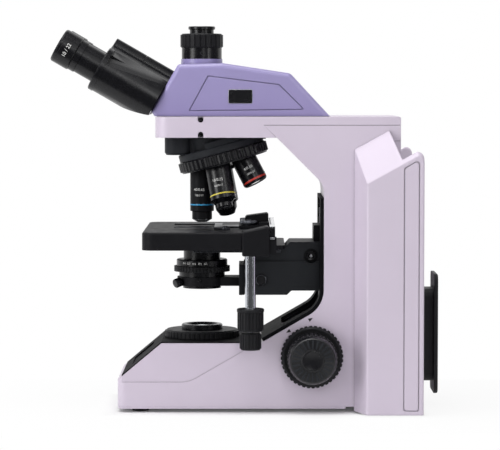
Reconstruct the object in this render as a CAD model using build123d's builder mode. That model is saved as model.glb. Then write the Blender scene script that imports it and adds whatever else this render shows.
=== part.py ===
# Trinocular laboratory microscope: stand, focus drive, stage, condenser, nosepiece and head.
# Millimetres. +X is the user's right, +Y is away from the user, +Z is up.
# The origin is on the table, under the middle of the whole instrument.
import os
from math import asin, atan2, cos, pi, radians, sin, sqrt, tan
from build123d import *

os.makedirs("parts", exist_ok=True)

# Fits and gaps
running_gap = 0.05  # a shaft in the hole that it turns in, radial
snug_gap = 0.1  # a fixed piece in its seat, radial
slide_gap = 0.3  # faces that pass each other
seam_gap = 0.4  # the line between two covers

# Stand
stand_half = 63.0
stand_wall = 6.0
base_bottom = 6.0
base_front = -131.0
lip_height = 37.0
lip_setback = 4.0
lip_edge = 2.0
deck_front = -85.6
deck_height = 71.6
deck_rear = 16.0
ramp_angle = 30.0
column_front = 81.4
column_foot_radius = 30.0
column_back = 160.0
arm_corner_radius = 20.0
arm_slope_end = 33.0
arm_under = 283.0
arm_seam = 296.0
arm_top_height = 304.5
arm_front = -92.0
back_panel_top = 280.0
back_panel_thickness = 6.0
base_corner_radius = 8.0
arm_nose_radius = 15.0
optical_y = -45.0  # the optical axis, straight up at x = 0
hollow_inset = 5.0
hollow_run = 40.0
crease_height = 31.3
crease_bend = -57.3
crease_radius = 34.0
crease_depth = 0.9
dovetail_radius = 25.0  # the round seat that the head turns in
dovetail_depth = 6.0
beam_radius = 16.0
notch_width = 5.8
notch_length = 9.0
notch_depth = 10.0

# Covers of the stand
cover_half = 60.0
cover_recess = 2.4
cover_proud = 1.0
liner_proud = 3.5
liner_top = arm_under - (column_front - arm_slope_end) - 13.6
channel_half = 37.0
channel_back = 104.0
channel_floor = deck_height + 12.4
liner_wall = 2.5

field_neck_radius = 20.0
dial_y = 20.0
dial_z = 38.0
dial_stem_radius = 3.0
dial_radius = 12.5
dial_depth = 10.0

# Rear wings
wing_reach = 97.0
wing_bottom = 1.7
wing_front = 112.5
wing_panel_front = 124.0
wing_back = 182.0
wing_fin = 6.0
wing_root_back = 148.0
wing_cap_rise = 0.554
wing_cap_fall = 1.195
wing_cap_height = 272.0
wing_cap_start = 114.0
wing_stock = 300.0
wing_sweep = 11.0
inlay_front = 161.3
inlay_back = 177.3
inlay_foot = 5.7
inlay_front_top = 253.2
inlay_back_top = 262.0
line_width = 0.9  # the sunk lines on the wings and the head
line_depth = 0.8
wing_corner_radius = 6.0
wing_edge_radius = 1.5

# Focus drive
focus_y = 69.0
focus_z = 58.5
gear_module = 0.75
pinion_teeth = 16
fine_shaft_radius = 3.0
coarse_tube_radius = 4.9
bush_radius = 8.9
coarse_knob_radius = 32.1
coarse_knob_face = 76.0
fine_knob_radius = 25.8
fine_knob_face = 110.0

# Stage
stage_top = 187.8
stage_half = 97.0
stage_front = -104.3
stage_back = 25.4
stage_slab = 4.5
stage_skirt = 3.0
stage_skirt_bottom = 169.5
carriage_top = 168.5
carriage_half = 33.0
carriage_bottom = 119.0
carriage_rear = 78.0
carriage_ledge = 174.0
carriage_heel = 123.4
lower_plate_thickness = 4.0
post_x = 84.0
post_y = 6.0
post_radius = 5.45
spindle_radius = 3.0

stage_travel_back = 12.0
stage_travel_front = 34.0

# Condenser
condenser_bore = 20.0
condenser_top = 182.0
condenser_shaft_y = 17.0
condenser_shaft_z = 134.5

# Nosepiece
turret_tilt = 15.2
turret_y = -22.2
turret_z = 260.2
turret_radius = 45.75
turret_thickness = 10.0
objective_circle = 23.5
objective_count = 5

# Head and tubes
head_half = 47.0
head_bottom = arm_top_height + slide_gap
head_ridge = head_bottom + 54.7
head_shoulder = head_bottom + 44.2
head_front = -93.0
head_back = 88.0
port_seat = head_bottom + 59.2
port_radius = 20.95
clamp_low = port_seat + 11.6
clamp_high = clamp_low + 14.8
port_top = clamp_high + 7.6
tube_tilt = 30.0
tube_pivot_y = -77.05
tube_pivot_z = head_bottom + 38.75
tube_half_spacing = 29.0
tube_drop = 27.2
eyetube_radius = 16.45
port_bore = 11.6


def shaped(plane, *corners):
    # A closed outline on a plane; a corner is (a, b) or (a, b, radius) where it is rounded.
    with BuildSketch(plane) as outline:
        with BuildLine():
            Polyline(*[corner[:2] for corner in corners], close=True)
        make_face()
        for corner in corners:
            if len(corner) == 3:
                nearest = outline.vertices().sort_by_distance(Vector(corner[0], corner[1]))[0]
                fillet(nearest, corner[2])
    return outline.sketch


def axial_plane(origin, axis, across=(1, 0, 0)):
    # A plane whose y runs along an axis and whose x runs out from it.
    return Plane(origin=origin, x_dir=across, z_dir=Vector(*across).cross(Vector(*axis)))


def upright(x, y, z=0.0):
    return axial_plane((x, y, z), (0, 0, 1))


def turned(plane, *profile, mode=Mode.ADD):
    # A turned piece: profile points are (radius, height) along the plane's y.
    revolve(shaped(plane, *profile), axis=Axis(plane.origin, plane.y_dir), mode=mode)


def fluted(plane, radius, depth, count, height, land=0.5, mode=Mode.ADD):
    # A gripping rim: a round bar with flutes cut along it.
    rim = []
    for flute in range(count):
        for share, reach in ((0.0, radius), (land, radius), (land + 0.12, radius - depth), (0.88, radius - depth)):
            turn = 2 * pi * (flute + share) / count
            rim.append((reach * cos(turn), reach * sin(turn)))
    extrude(shaped(plane, *rim), amount=height, mode=mode)


def pinion_outline(plane, teeth, phase):
    # Straight-flanked teeth, thinned for backlash; phase is the angle of one tooth's middle.
    pitch_radius = gear_module * teeth / 2
    rim = []
    for tooth in range(teeth):
        middle = radians(phase) + 2 * pi * tooth / teeth
        for share, reach in ((-0.27, -1.0), (-0.1, 0.8), (0.1, 0.8), (0.27, -1.0)):
            turn = middle + share * 2 * pi / teeth
            radius = pitch_radius + reach * gear_module
            rim.append((radius * cos(turn), radius * sin(turn)))
    return shaped(plane, *rim)


def rack_outline(plane, pitch_line, back, first, teeth, hand):
    # Rack teeth point along -x for hand = 1; a tooth space is centred on `first`.
    pitch = pi * gear_module
    root = pitch_line + hand * 1.0 * gear_module
    tip = pitch_line - hand * 0.8 * gear_module
    edge = [(back, first), (root, first)]
    for tooth in range(teeth):
        middle = first + (tooth + 0.5) * pitch
        edge.append((root, middle - 0.33 * pitch))
        edge.append((tip, middle - 0.1 * pitch))
        edge.append((tip, middle + 0.1 * pitch))
        edge.append((root, middle + 0.33 * pitch))
    end = first + teeth * pitch
    edge.append((root, end))
    edge.append((back, end))
    return shaped(plane, *edge)


def finish(piece, name):
    piece.part.label = name
    export_step(piece.part, f"parts/{name}.step")


# Lines that several pieces share
ramp = tan(radians(ramp_angle))
foot_corner = deck_height + (column_front - deck_rear) * ramp
arm_corner = arm_under - (column_front - arm_slope_end)


def ramp_corner(proud):
    # The corner of the deck, ramp and column lines, moved out by `proud`.
    lift = proud / cos(radians(ramp_angle))
    return column_front - proud, deck_height + lift + (column_front - proud - deck_rear) * ramp


def deck_strip(low, high, front_inset=0.0):
    # The front slope and the deck between two depths; the lower end is cut square to the slope.
    slope = Vector(deck_front - base_front - lip_setback, deck_height - lip_height).normalized()
    out = Vector(-slope.Y, slope.X)
    lower_end = Vector(base_front + lip_setback, lip_height) + slope * front_inset
    bend = tan((pi / 2 - atan2(slope.X, slope.Y)) / 2)
    points = [lower_end + out * low, Vector(deck_front - low * bend, deck_height + low)]
    points += [Vector(deck_rear, deck_height + low), Vector(deck_rear, deck_height + high)]
    points += [Vector(deck_front - high * bend, deck_height + high), lower_end + out * high]
    return shaped(Plane.YZ, *[(point.X, point.Y) for point in points])


def plan(front, radius):
    # The stand seen from above, with its two front corners rounded.
    return shaped(
        Plane.XY,
        (-stand_half, front, radius),
        (stand_half, front, radius),
        (stand_half, column_back),
        (-stand_half, column_back),
    )


# Stand body: base, ramp, column and the root of the arm as one casting
with BuildPart() as stand_body:
    extrude(
        shaped(
            Plane.YZ,
            (base_front, base_bottom),
            (base_front, lip_height - lip_edge, 3),
            (base_front + lip_setback, lip_height, 1.5),
            (deck_front, deck_height, 2),
            (deck_rear, deck_height, 8),
            (column_front, foot_corner, column_foot_radius),
            (column_front, arm_corner, arm_corner_radius),
            (arm_slope_end, arm_under),
            (arm_slope_end - (arm_seam - arm_under), arm_seam - seam_gap),
            (column_back, arm_seam - seam_gap),
            (column_back, back_panel_top),
            (column_back - back_panel_thickness, back_panel_top),
            (column_back - back_panel_thickness, base_bottom),
        ),
        amount=stand_half,
        both=True,
    )
    extrude(plan(base_front, base_corner_radius), amount=arm_top_height, mode=Mode.INTERSECT)
    # the shallow facet on each side, above the crease that climbs to the ramp
    for side in (-1, 1):
        extrude(
            shaped(
                Plane.YZ.offset(side * stand_half),
                (base_front - lip_edge, crease_height),
                (crease_bend, crease_height, crease_radius),
                (deck_rear, crease_height + (deck_rear - crease_bend) * ramp),
                (base_front - lip_edge, crease_height + (deck_rear - crease_bend) * ramp),
            ),
            amount=-side * crease_depth,
            mode=Mode.SUBTRACT,
        )
    # the recess that the deck cover lies in
    extrude(deck_strip(-cover_recess, 2.0), amount=cover_half + seam_gap, both=True, mode=Mode.SUBTRACT)
    # the hollow base, open below
    extrude(
        shaped(
            Plane.YZ,
            (base_front + stand_wall, base_bottom),
            (base_front + stand_wall, lip_height - stand_wall),
            (deck_front + hollow_inset, deck_height - stand_wall - cover_recess),
            (deck_rear + hollow_inset, deck_height - stand_wall - cover_recess),
            (deck_rear + hollow_run, channel_floor),
            (channel_back, channel_floor),
            (channel_back, base_bottom),
        ),
        amount=stand_half - stand_wall,
        both=True,
        mode=Mode.SUBTRACT,
    )
    # the channel that the focus slide runs in
    with BuildSketch(Plane.XY.offset(channel_floor - 0.5)):
        with Locations((0, (deck_rear + channel_back) / 2)):
            Rectangle(2 * channel_half, channel_back - deck_rear)
    extrude(amount=liner_top - channel_floor, mode=Mode.SUBTRACT)
    # the hollow column, closed by the back panel
    with BuildSketch(Plane.XZ.offset(-column_back)):
        with Locations((0, (back_panel_top + 2 * stand_wall) / 2)):
            Rectangle(2 * (stand_half - stand_wall), back_panel_top - 4 * stand_wall)
    extrude(amount=column_back - channel_back - stand_wall, mode=Mode.SUBTRACT)
    # the light well in the deck
    with Locations((0, optical_y, deck_height)):
        Hole(field_neck_radius + snug_gap, depth=2 * stand_wall + 6)
    # the hole of the brightness dial's stem
    with BuildSketch(Plane.YZ.offset(-stand_half)):
        with Locations((dial_y, dial_z)):
            Circle(dial_stem_radius + running_gap)
    extrude(amount=stand_wall, mode=Mode.SUBTRACT)
    # seats of the focus bushes
    with BuildSketch(Plane.YZ.offset(-stand_half)):
        with Locations((focus_y, focus_z)):
            Circle(bush_radius + snug_gap)
    extrude(amount=2 * stand_half, mode=Mode.SUBTRACT)
finish(stand_body, "stand_body")

# Arm top: the front block that carries the head and the nosepiece, with the top plate in one piece
with BuildPart() as arm_top:
    extrude(
        shaped(
            Plane.YZ,
            (arm_front, arm_under),
            (arm_slope_end - seam_gap, arm_under),
            (arm_slope_end - (arm_seam - arm_under) - seam_gap, arm_seam),
            (column_back, arm_seam),
            (column_back, arm_top_height, 1.5),
            (arm_front, arm_top_height, 1.5),
        ),
        amount=stand_half,
        both=True,
    )
    extrude(plan(arm_front, arm_nose_radius), amount=arm_top_height, mode=Mode.INTERSECT)
    with Locations((0, optical_y, arm_top_height)):
        CounterBoreHole(beam_radius, dovetail_radius + running_gap, dovetail_depth + slide_gap)
    # the two notches that the clamp screws sit in
    for notch_middle in (arm_top_height - notch_length / 6, arm_under + notch_length / 6):
        with BuildSketch(Plane.YZ.offset(stand_half)):
            with Locations((optical_y, notch_middle)):
                SlotOverall(notch_length, notch_width, rotation=90)
        extrude(amount=-notch_depth, mode=Mode.SUBTRACT)
finish(arm_top, "arm_top")

# Rear wings, mirror images
wing_cap = Plane(
    origin=(stand_half, wing_cap_start, wing_cap_height),
    z_dir=(wing_cap_fall, -wing_cap_rise, 1),
)
with BuildPart() as rear_wings:
    extrude(
        shaped(
            Plane.XY.offset(wing_bottom),
            (stand_half, wing_front),
            (wing_reach, wing_panel_front, 3),
            (wing_reach, wing_back),
            (wing_reach - wing_fin, wing_back),
            (wing_reach - wing_fin, wing_root_back + wing_sweep),
            (stand_half, wing_root_back),
        ),
        amount=wing_stock,
    )
    split(bisect_by=wing_cap, keep=Keep.BOTTOM)
    back_top = rear_wings.faces().sort_by(Axis.Y)[-1].edges().sort_by(Axis.Z)[-1]
    fillet(back_top, wing_corner_radius)
    back_rim = rear_wings.faces().sort_by(Axis.Y)[-1].edges().filter_by(Axis.Z)
    fillet(back_rim, wing_edge_radius)
    # the inlay line on the outer panel
    for inset, cut in ((0.0, Mode.SUBTRACT), (line_width, Mode.ADD)):
        extrude(
            shaped(
                Plane.YZ.offset(wing_reach - line_depth),
                (inlay_front + inset, inlay_foot + inset, 2.5),
                (inlay_back - inset, inlay_foot + inset, 2.5),
                (inlay_back - inset, inlay_back_top - inset, 3),
                (inlay_front + inset, inlay_front_top - inset, 3),
            ),
            amount=line_depth,
            mode=cut,
        )
    mirror(about=Plane.YZ)
finish(rear_wings, "rear_wings")

# Back panel with the seats of the inlet and the switch
inlet_x = 42.0
inlet_z = 40.0
inlet_width = 27.5
inlet_height = 20.0
switch_z = 82.0
switch_width = 13.0
switch_height = 19.2
with BuildPart() as back_panel:
    with BuildSketch(Plane.XZ.offset(-column_back)):
        with Locations((0, (base_bottom + back_panel_top - seam_gap) / 2)):
            Rectangle(2 * stand_half, back_panel_top - seam_gap - base_bottom)
        with Locations((inlet_x, inlet_z)):
            RectangleRounded(inlet_width + 2 * snug_gap, inlet_height + 2 * snug_gap, 3, mode=Mode.SUBTRACT)
        with Locations((inlet_x, switch_z)):
            Rectangle(switch_width + 2 * snug_gap, switch_height + 2 * snug_gap, mode=Mode.SUBTRACT)
    extrude(amount=back_panel_thickness)
finish(back_panel, "back_panel")

# Deck cover over the front slope and the deck, with a sunk window in the slope
slope_run = deck_front - base_front - lip_setback
slope_rise = deck_height - lip_height
slope_length = sqrt(slope_run ** 2 + slope_rise ** 2)
with BuildPart() as deck_cover:
    extrude(deck_strip(seam_gap - cover_recess, cover_proud, 1.0), amount=cover_half, both=True)
    with Locations((0, optical_y, deck_height + cover_proud)):
        Hole(field_neck_radius + snug_gap)
    window = Plane(
        origin=(0, (deck_front + base_front + lip_setback) / 2, (deck_height + lip_height) / 2),
        x_dir=(1, 0, 0),
        z_dir=(0, -slope_rise, slope_run),
    )
    with BuildSketch(window.offset(cover_proud - 1.5)):
        RectangleRounded(64, 0.5 * slope_length, 4)
    extrude(amount=4, mode=Mode.SUBTRACT)
finish(deck_cover, "deck_cover")

# Column liner: the black facing up the ramp and the column, with the channel's side walls
liner_start = deck_rear + 3.0
channel_start = deck_rear + (channel_floor - deck_height) / ramp + 1.0
liner_lead = Vector(liner_start, deck_height + (liner_start - deck_rear) * ramp)
liner_out = Vector(-sin(radians(ramp_angle)), cos(radians(ramp_angle))) * liner_proud
with BuildPart() as column_liner:
    extrude(
        shaped(
            Plane.YZ,
            (liner_lead.X, liner_lead.Y),
            (*ramp_corner(0), column_foot_radius),
            (column_front, liner_top),
            (column_front - liner_proud, liner_top),
            (*ramp_corner(liner_proud), column_foot_radius - liner_proud),
            (liner_lead.X + liner_out.X, liner_lead.Y + liner_out.Y),
        ),
        amount=cover_half,
        both=True,
    )
    with BuildSketch(Plane.XY.offset(channel_floor - 5)):
        with Locations((0, (channel_start + channel_back) / 2)):
            Rectangle(2 * (channel_half - liner_wall), channel_back - channel_start)
    extrude(amount=liner_top - liner_wall - channel_floor + 5, mode=Mode.SUBTRACT)
    for wall_side in (-1, 1):
        extrude(
            shaped(
                Plane.YZ.offset(wall_side * (channel_half - snug_gap)),
                (channel_start, channel_floor),
                (*ramp_corner(0), column_foot_radius),
                (column_front, liner_top - slide_gap - 0.5),
                (channel_back - slide_gap, liner_top - slide_gap - 0.5),
                (channel_back - slide_gap, channel_floor),
            ),
            amount=-wall_side * (liner_wall - snug_gap),
        )
finish(column_liner, "column_liner")

# Base plate, feet and the cord winder
plate_thickness = 3.0
plate_front = base_front + stand_wall + slide_gap
plate_back = channel_back - slide_gap
with BuildPart() as base_plate:
    with BuildSketch(Plane.XY.offset(base_bottom)):
        with Locations((0, (plate_front + plate_back) / 2)):
            Rectangle(2 * (stand_half - stand_wall - slide_gap), plate_back - plate_front)
    extrude(amount=plate_thickness)
    vents = base_plate.faces().sort_by(Axis.Z)[0]
    with BuildSketch(vents):
        with GridLocations(0, 9, 1, 5):
            SlotOverall(50, 3.5)
    extrude(amount=-plate_thickness, mode=Mode.SUBTRACT)
finish(base_plate, "base_plate")

foot_spots = [(side * 44.0, y) for side in (-1, 1) for y in (base_front + 23, column_back - 25)]
with BuildPart() as feet:
    for foot_x, foot_y in foot_spots:
        turned(upright(foot_x, foot_y), (0, 0), (8.5, 0), (10, base_bottom), (0, base_bottom))
finish(feet, "feet")

winder_depth = 41.7
winder_flange = 4.1
winder_hub = (40.0, 97.0)
winder_plate = (56.0, 125.2)
winder_hub_z = 75.5
winder_plate_z = 77.4
with BuildPart() as cord_winder:
    with BuildSketch(Plane.XZ.offset(-column_back)):
        with Locations((0, winder_hub_z)):
            RectangleRounded(*winder_hub, 8)
    extrude(amount=-(winder_depth - winder_flange))
    with BuildSketch(Plane.XZ.offset(-(column_back + winder_depth - winder_flange))):
        with Locations((0, winder_plate_z)):
            RectangleRounded(*winder_plate, 7)
    extrude(amount=-winder_flange)
    fillet(cord_winder.faces().sort_by(Axis.Y)[-1].edges(), 1.5)
finish(cord_winder, "cord_winder")

# Power inlet and switch in the back panel
rocker_radius = 8.2
rocker_tilt = 7.0
rocker_pin = 1.0
rocker_y = column_back - 3.0
rocker_plane = Plane.YZ.offset(inlet_x)
with BuildPart() as power_inlet:
    with BuildSketch(Plane.XZ.offset(-column_back)):
        with Locations((inlet_x, inlet_z)):
            RectangleRounded(inlet_width + 5.5, inlet_height + 5, 3)
    extrude(amount=-2.5)
    with BuildSketch(Plane.XZ.offset(-column_back)):
        with Locations((inlet_x, inlet_z)):
            RectangleRounded(inlet_width, inlet_height, 3)
    extrude(amount=20)
    with BuildSketch(Plane.XZ.offset(-column_back - 2.5)):
        with Locations((inlet_x, inlet_z)):
            RectangleRounded(inlet_width - 3, inlet_height - 3.5, 3)
    extrude(amount=16, mode=Mode.SUBTRACT)
    # the frame of the rocker switch
    with BuildSketch(Plane.XZ.offset(-column_back)):
        with Locations((inlet_x, switch_z)):
            RectangleRounded(switch_width + 4, switch_height + 3.8, 1.5)
    extrude(amount=-1.5)
    with BuildSketch(Plane.XZ.offset(-column_back)):
        with Locations((inlet_x, switch_z)):
            Rectangle(switch_width, switch_height)
    extrude(amount=14)
    with BuildSketch(Plane.XZ.offset(-column_back - 1.5)):
        with Locations((inlet_x, switch_z)):
            Rectangle(switch_width - 2, 2 * (rocker_radius + slide_gap))
    extrude(amount=14, mode=Mode.SUBTRACT)
    with BuildSketch(Plane.YZ.offset(inlet_x - switch_width / 2)):
        with Locations((rocker_y, switch_z)):
            Circle(rocker_pin + running_gap)
    extrude(amount=switch_width, mode=Mode.SUBTRACT)
finish(power_inlet, "power_inlet")

with BuildPart() as power_switch:
    with BuildSketch(rocker_plane):
        with Locations((rocker_y, switch_z)):
            Circle(rocker_radius)
        with Locations((rocker_y - 6.5, switch_z)):
            Rectangle(6, 20, mode=Mode.SUBTRACT)
        with Locations(Location((rocker_y + 10.5, switch_z), -rocker_tilt)):
            Rectangle(10, 40, mode=Mode.SUBTRACT)
    extrude(amount=switch_width / 2 - 1 - slide_gap, both=True)
    with BuildSketch(rocker_plane):
        with Locations((rocker_y, switch_z)):
            Circle(rocker_pin)
    extrude(amount=switch_width / 2 - snug_gap, both=True)
finish(power_switch, "power_switch")

# Brightness dial on the left of the base
with BuildPart() as brightness_dial:
    dial_plane = Plane(origin=(-stand_half - slide_gap, dial_y, dial_z), x_dir=(0, 1, 0), z_dir=(-1, 0, 0))
    fluted(dial_plane, dial_radius, 0.8, 24, dial_depth)
    with BuildSketch(dial_plane.offset(dial_depth)):
        Circle(dial_radius - 2)
    extrude(amount=2.5)
    with BuildSketch(dial_plane):
        Circle(dial_stem_radius)
    extrude(amount=-(stand_wall + 4))
finish(brightness_dial, "brightness_dial")

# Lamp, collector and mirror on the base plate, sealed inside the base
ring_low = deck_height + cover_proud + slide_gap
ring_high = ring_low + 7.6
holder_top = ring_high + 5.5
holder_radius = 21.5
floor_z = base_bottom + plate_thickness
beam_z = 36.0
field_bore = 15.0
lamp_front = 5.0
collector_radius = 14.0
with BuildPart() as lamp_module:
    with BuildSketch(Plane.XY.offset(floor_z)):
        with Locations((0, lamp_front + 5)):
            Rectangle(36, 10)
        with Locations((0, lamp_front + 19)):
            with GridLocations(6.5, 0, 6, 1):
                Rectangle(2.5, 19)
    extrude(amount=46)
    nose = axial_plane((0, lamp_front, beam_z), (0, -1, 0))
    turned(nose, (collector_radius, 0), (17, 0), (17, 11), (collector_radius, 11))
finish(lamp_module, "lamp_module")

with BuildPart() as base_lenses:
    crown = axial_plane((0, lamp_front, beam_z), (0, -1, 0))
    turned(crown, (0, 2), (collector_radius - snug_gap, 2), (collector_radius - snug_gap, 6), (8, 9.5), (0, 11))
    lens_edge = field_bore - snug_gap
    turned(
        upright(0, optical_y, holder_top),
        (0, -8),
        (lens_edge, -8),
        (lens_edge, -4),
        (8, -1.8),
        (0, -1.2),
    )
finish(base_lenses, "base_lenses")

with BuildPart() as fold_mirror:
    extrude(
        shaped(
            Plane.YZ,
            (optical_y - 20, floor_z),
            (optical_y + 24, floor_z),
            (optical_y + 24, beam_z - 24),
            (optical_y - 20, beam_z + 20),
        ),
        amount=17,
        both=True,
    )
finish(fold_mirror, "fold_mirror")

# Field lens in its holder, and the iris ring that turns round it
with BuildPart() as field_lens_holder:
    turned(
        upright(0, optical_y),
        (field_bore, deck_height - 11),
        (field_neck_radius, deck_height - 11),
        (field_neck_radius, ring_high + slide_gap),
        (holder_radius, ring_high + slide_gap),
        (holder_radius, holder_top - 1),
        (holder_radius - 1, holder_top),
        (field_bore + 2, holder_top),
        (field_bore, holder_top - 2),
    )
finish(field_lens_holder, "field_lens_holder")

field_ring_radius = 39.0
with BuildPart() as field_iris_ring:
    fluted(Plane.XY.offset(ring_low).shift_origin((0, optical_y, ring_low)), field_ring_radius, 0.9, 48, 6.2)
    turned(
        upright(0, optical_y),
        (0, ring_low + 6),
        (field_ring_radius - 1, ring_low + 6),
        (field_ring_radius - 2.2, ring_high),
        (0, ring_high),
    )
    with Locations((0, optical_y, ring_high)):
        Hole(field_neck_radius + running_gap)
finish(field_iris_ring, "field_iris_ring")

# Focus bushes, shafts and knobs
bush_flange = 10.0
bush_length = 4.6
with BuildPart() as focus_bushes:
    for side in (-1, 1):
        bush = axial_plane((side * stand_half, focus_y, focus_z), (side, 0, 0), (0, 1, 0))
        bore = coarse_tube_radius + running_gap
        turned(
            bush,
            (bore, -stand_wall),
            (bush_radius, -stand_wall),
            (bush_radius, 0),
            (bush_flange, 0),
            (bush_flange, bush_length),
            (bore, bush_length),
        )
finish(focus_bushes, "focus_bushes")

knob_root = stand_half + bush_length + slide_gap
with BuildPart() as coarse_shaft:
    with BuildSketch(Plane.YZ):
        with Locations((focus_y, focus_z)):
            Circle(coarse_tube_radius)
    extrude(amount=coarse_knob_face - 2, both=True)
    extrude(pinion_outline(Plane.YZ.shift_origin((0, focus_y, focus_z)), pinion_teeth, 0), amount=6, both=True)
    with BuildSketch(Plane.YZ):
        with Locations((focus_y, focus_z)):
            Circle(fine_shaft_radius + running_gap)
    extrude(amount=coarse_knob_face, both=True, mode=Mode.SUBTRACT)
finish(coarse_shaft, "coarse_shaft")

with BuildPart() as coarse_knobs:
    for side in (-1, 1):
        face = Plane(origin=(side * knob_root, focus_y, focus_z), x_dir=(0, 1, 0), z_dir=(side, 0, 0))
        depth = coarse_knob_face - knob_root
        fluted(face.offset(1.5), coarse_knob_radius, 1.1, 40, depth - 3)
        turned(
            axial_plane(face.origin, (side, 0, 0), (0, 1, 0)),
            (coarse_tube_radius + snug_gap, 0),
            (coarse_knob_radius - 2.2, 0),
            (coarse_knob_radius - 1.2, 1.5),
            (coarse_knob_radius - 1.2, depth - 1.5),
            (coarse_knob_radius - 2.5, depth),
            (28, depth),
            (28, depth - 4),
            (coarse_tube_radius + snug_gap, depth - 4),
        )
        with BuildSketch(face):
            Circle(coarse_tube_radius + snug_gap)
        extrude(amount=depth, mode=Mode.SUBTRACT)
finish(coarse_knobs, "coarse_knobs")

with BuildPart() as tension_ring:
    ring = Plane(origin=(stand_half + slide_gap, focus_y, focus_z), x_dir=(0, 1, 0), z_dir=(1, 0, 0))
    fluted(ring, 29, 0.9, 30, bush_length - slide_gap)
    with BuildSketch(ring):
        Circle(bush_flange + running_gap)
    extrude(amount=bush_length, mode=Mode.SUBTRACT)
finish(tension_ring, "tension_ring")

fine_knob_root = coarse_knob_face + slide_gap
knob_face_radius = 22.0
knob_boss_radius = 11.4
boss_step = 0.8
fine_shaft_end = fine_knob_face - 6
with BuildPart() as fine_knobs:
    for side in (-1, 1):
        face = Plane(origin=(side * fine_knob_root, focus_y, focus_z), x_dir=(0, 1, 0), z_dir=(side, 0, 0))
        depth = fine_knob_face - fine_knob_root
        turned(
            axial_plane(face.origin, (side, 0, 0), (0, 1, 0)),
            (0, 0),
            (fine_knob_radius - 3, 0),
            (fine_knob_radius - 1, 3),
            (fine_knob_radius - 1, depth - 6),
            (knob_face_radius + 1.2, depth - boss_step - 1, 1),
            (knob_face_radius, depth - boss_step),
            (knob_boss_radius + 0.5, depth - boss_step),
            (knob_boss_radius, depth),
            (0, depth),
        )
        fluted(face.offset(4), fine_knob_radius, 0.9, 36, depth - 11)
        with BuildSketch(face):
            Circle(fine_shaft_radius + snug_gap)
        extrude(amount=fine_shaft_end + snug_gap - fine_knob_root, mode=Mode.SUBTRACT)
    # the shaft that both knobs are pressed on
    with BuildSketch(Plane.YZ):
        with Locations((focus_y, focus_z)):
            Circle(fine_shaft_radius)
    extrude(amount=fine_shaft_end, both=True)
finish(fine_knobs, "fine_knobs")

# Guide rails of the focus slide, bolted to the back of the channel
rail_inner = 24.3
rail_front = 79.0
with BuildPart() as guide_rails:
    for side in (-1, 1):
        with BuildSketch(Plane.XY.offset(channel_floor + 6)):
            with Locations((side * (rail_inner + 3.6), (rail_front + channel_back) / 2)):
                Rectangle(7.2, channel_back - rail_front)
            with Locations((side * (rail_inner + 1.5), rail_front + 3.5)):
                Rectangle(3, 3.6, mode=Mode.SUBTRACT)
        extrude(amount=liner_top - channel_floor - 20)
finish(guide_rails, "guide_rails")

# Focus slide in the rails, with the rack that the coarse pinion drives
slide_back = 86.0
slide_low = 104.0
slide_high = 191.0
slide_half = rail_inner - slide_gap
lip_reach = 6.3
rack_teeth = 16
pinion_pitch = gear_module * pinion_teeth / 2
tooth_pitch = pi * gear_module
with BuildPart() as focus_slide:
    with BuildSketch(Plane.XY.offset(slide_low)):
        with Locations((0, (carriage_rear + slide_back) / 2)):
            Rectangle(2 * slide_half, slide_back - carriage_rear)
        with Locations((0, rail_front + 3.5)):
            Rectangle(2 * (slide_half + 3), 3)
    extrude(amount=slide_high - slide_low)
    with BuildSketch(Plane.XY.offset(carriage_ledge)):
        with Locations((0, carriage_rear - lip_reach / 2)):
            Rectangle(2 * slide_half, lip_reach)
    extrude(amount=slide_high - carriage_ledge)
    rack_first = focus_z - 3 * tooth_pitch
    rack_back = focus_y + pinion_pitch + 7
    extrude(
        rack_outline(Plane.YZ, focus_y + pinion_pitch, rack_back, rack_first, rack_teeth, 1),
        amount=5,
        both=True,
    )
    rack_end = rack_first + rack_teeth * tooth_pitch
    with BuildSketch(Plane.XY.offset(rack_end)):
        with Locations((0, (carriage_rear + rack_back) / 2)):
            Rectangle(10, rack_back - carriage_rear)
    extrude(amount=slide_low - rack_end)
finish(focus_slide, "focus_slide")

# Stage carriage: the bracket on the focus slide, with the condenser's guides on its front
carriage_step = 154.0
guide_inner = 22.0
guide_outer = 28.0
condenser_face = 0.0
condenser_rack_line = condenser_shaft_y - pinion_pitch
with BuildPart() as stage_carriage:
    extrude(
        shaped(
            Plane.YZ,
            (condenser_face, carriage_bottom, 2),
            (44, carriage_bottom, 2),
            (48.4, carriage_heel, 2),
            (carriage_rear, carriage_heel),
            (carriage_rear, carriage_ledge),
            (47, carriage_ledge, 1.5),
            (42, carriage_top),
            (condenser_face, carriage_top),
        ),
        amount=carriage_half,
        both=True,
    )
    for side in (-1, 1):
        with BuildSketch(Plane.XY.offset(carriage_step)):
            with Locations((side * carriage_half, carriage_rear / 2)):
                Rectangle(4, carriage_rear)
        extrude(amount=30, mode=Mode.SUBTRACT)
        with BuildSketch(Plane.XY.offset(carriage_bottom)):
            with Locations((side * (guide_inner + guide_outer) / 2, -3)):
                Rectangle(guide_outer - guide_inner, 6)
            with Locations((side * (guide_inner + 1.15), -3.5)):
                Rectangle(2.3, 2.6, mode=Mode.SUBTRACT)
        extrude(amount=31)
    with BuildSketch(Plane.XY.offset(carriage_top)):
        with Locations((0, 24)):
            RectangleRounded(48, 32, 4)
    extrude(amount=-44.5, mode=Mode.SUBTRACT)
    with BuildSketch(Plane.XY.offset(carriage_bottom)):
        with Locations((0, 5.5)):
            Rectangle(9, 15)
    extrude(amount=41, mode=Mode.SUBTRACT)
    with BuildSketch(Plane.YZ.offset(-carriage_half)):
        with Locations((condenser_shaft_y, condenser_shaft_z)):
            Circle(spindle_radius + running_gap)
    extrude(amount=2 * carriage_half, mode=Mode.SUBTRACT)
    with BuildSketch(Plane.YZ.offset(carriage_half)):
        with Locations((focus_y, 159.3)):
            Circle(7.6)
    extrude(amount=-5, mode=Mode.SUBTRACT)
finish(stage_carriage, "stage_carriage")

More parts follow.
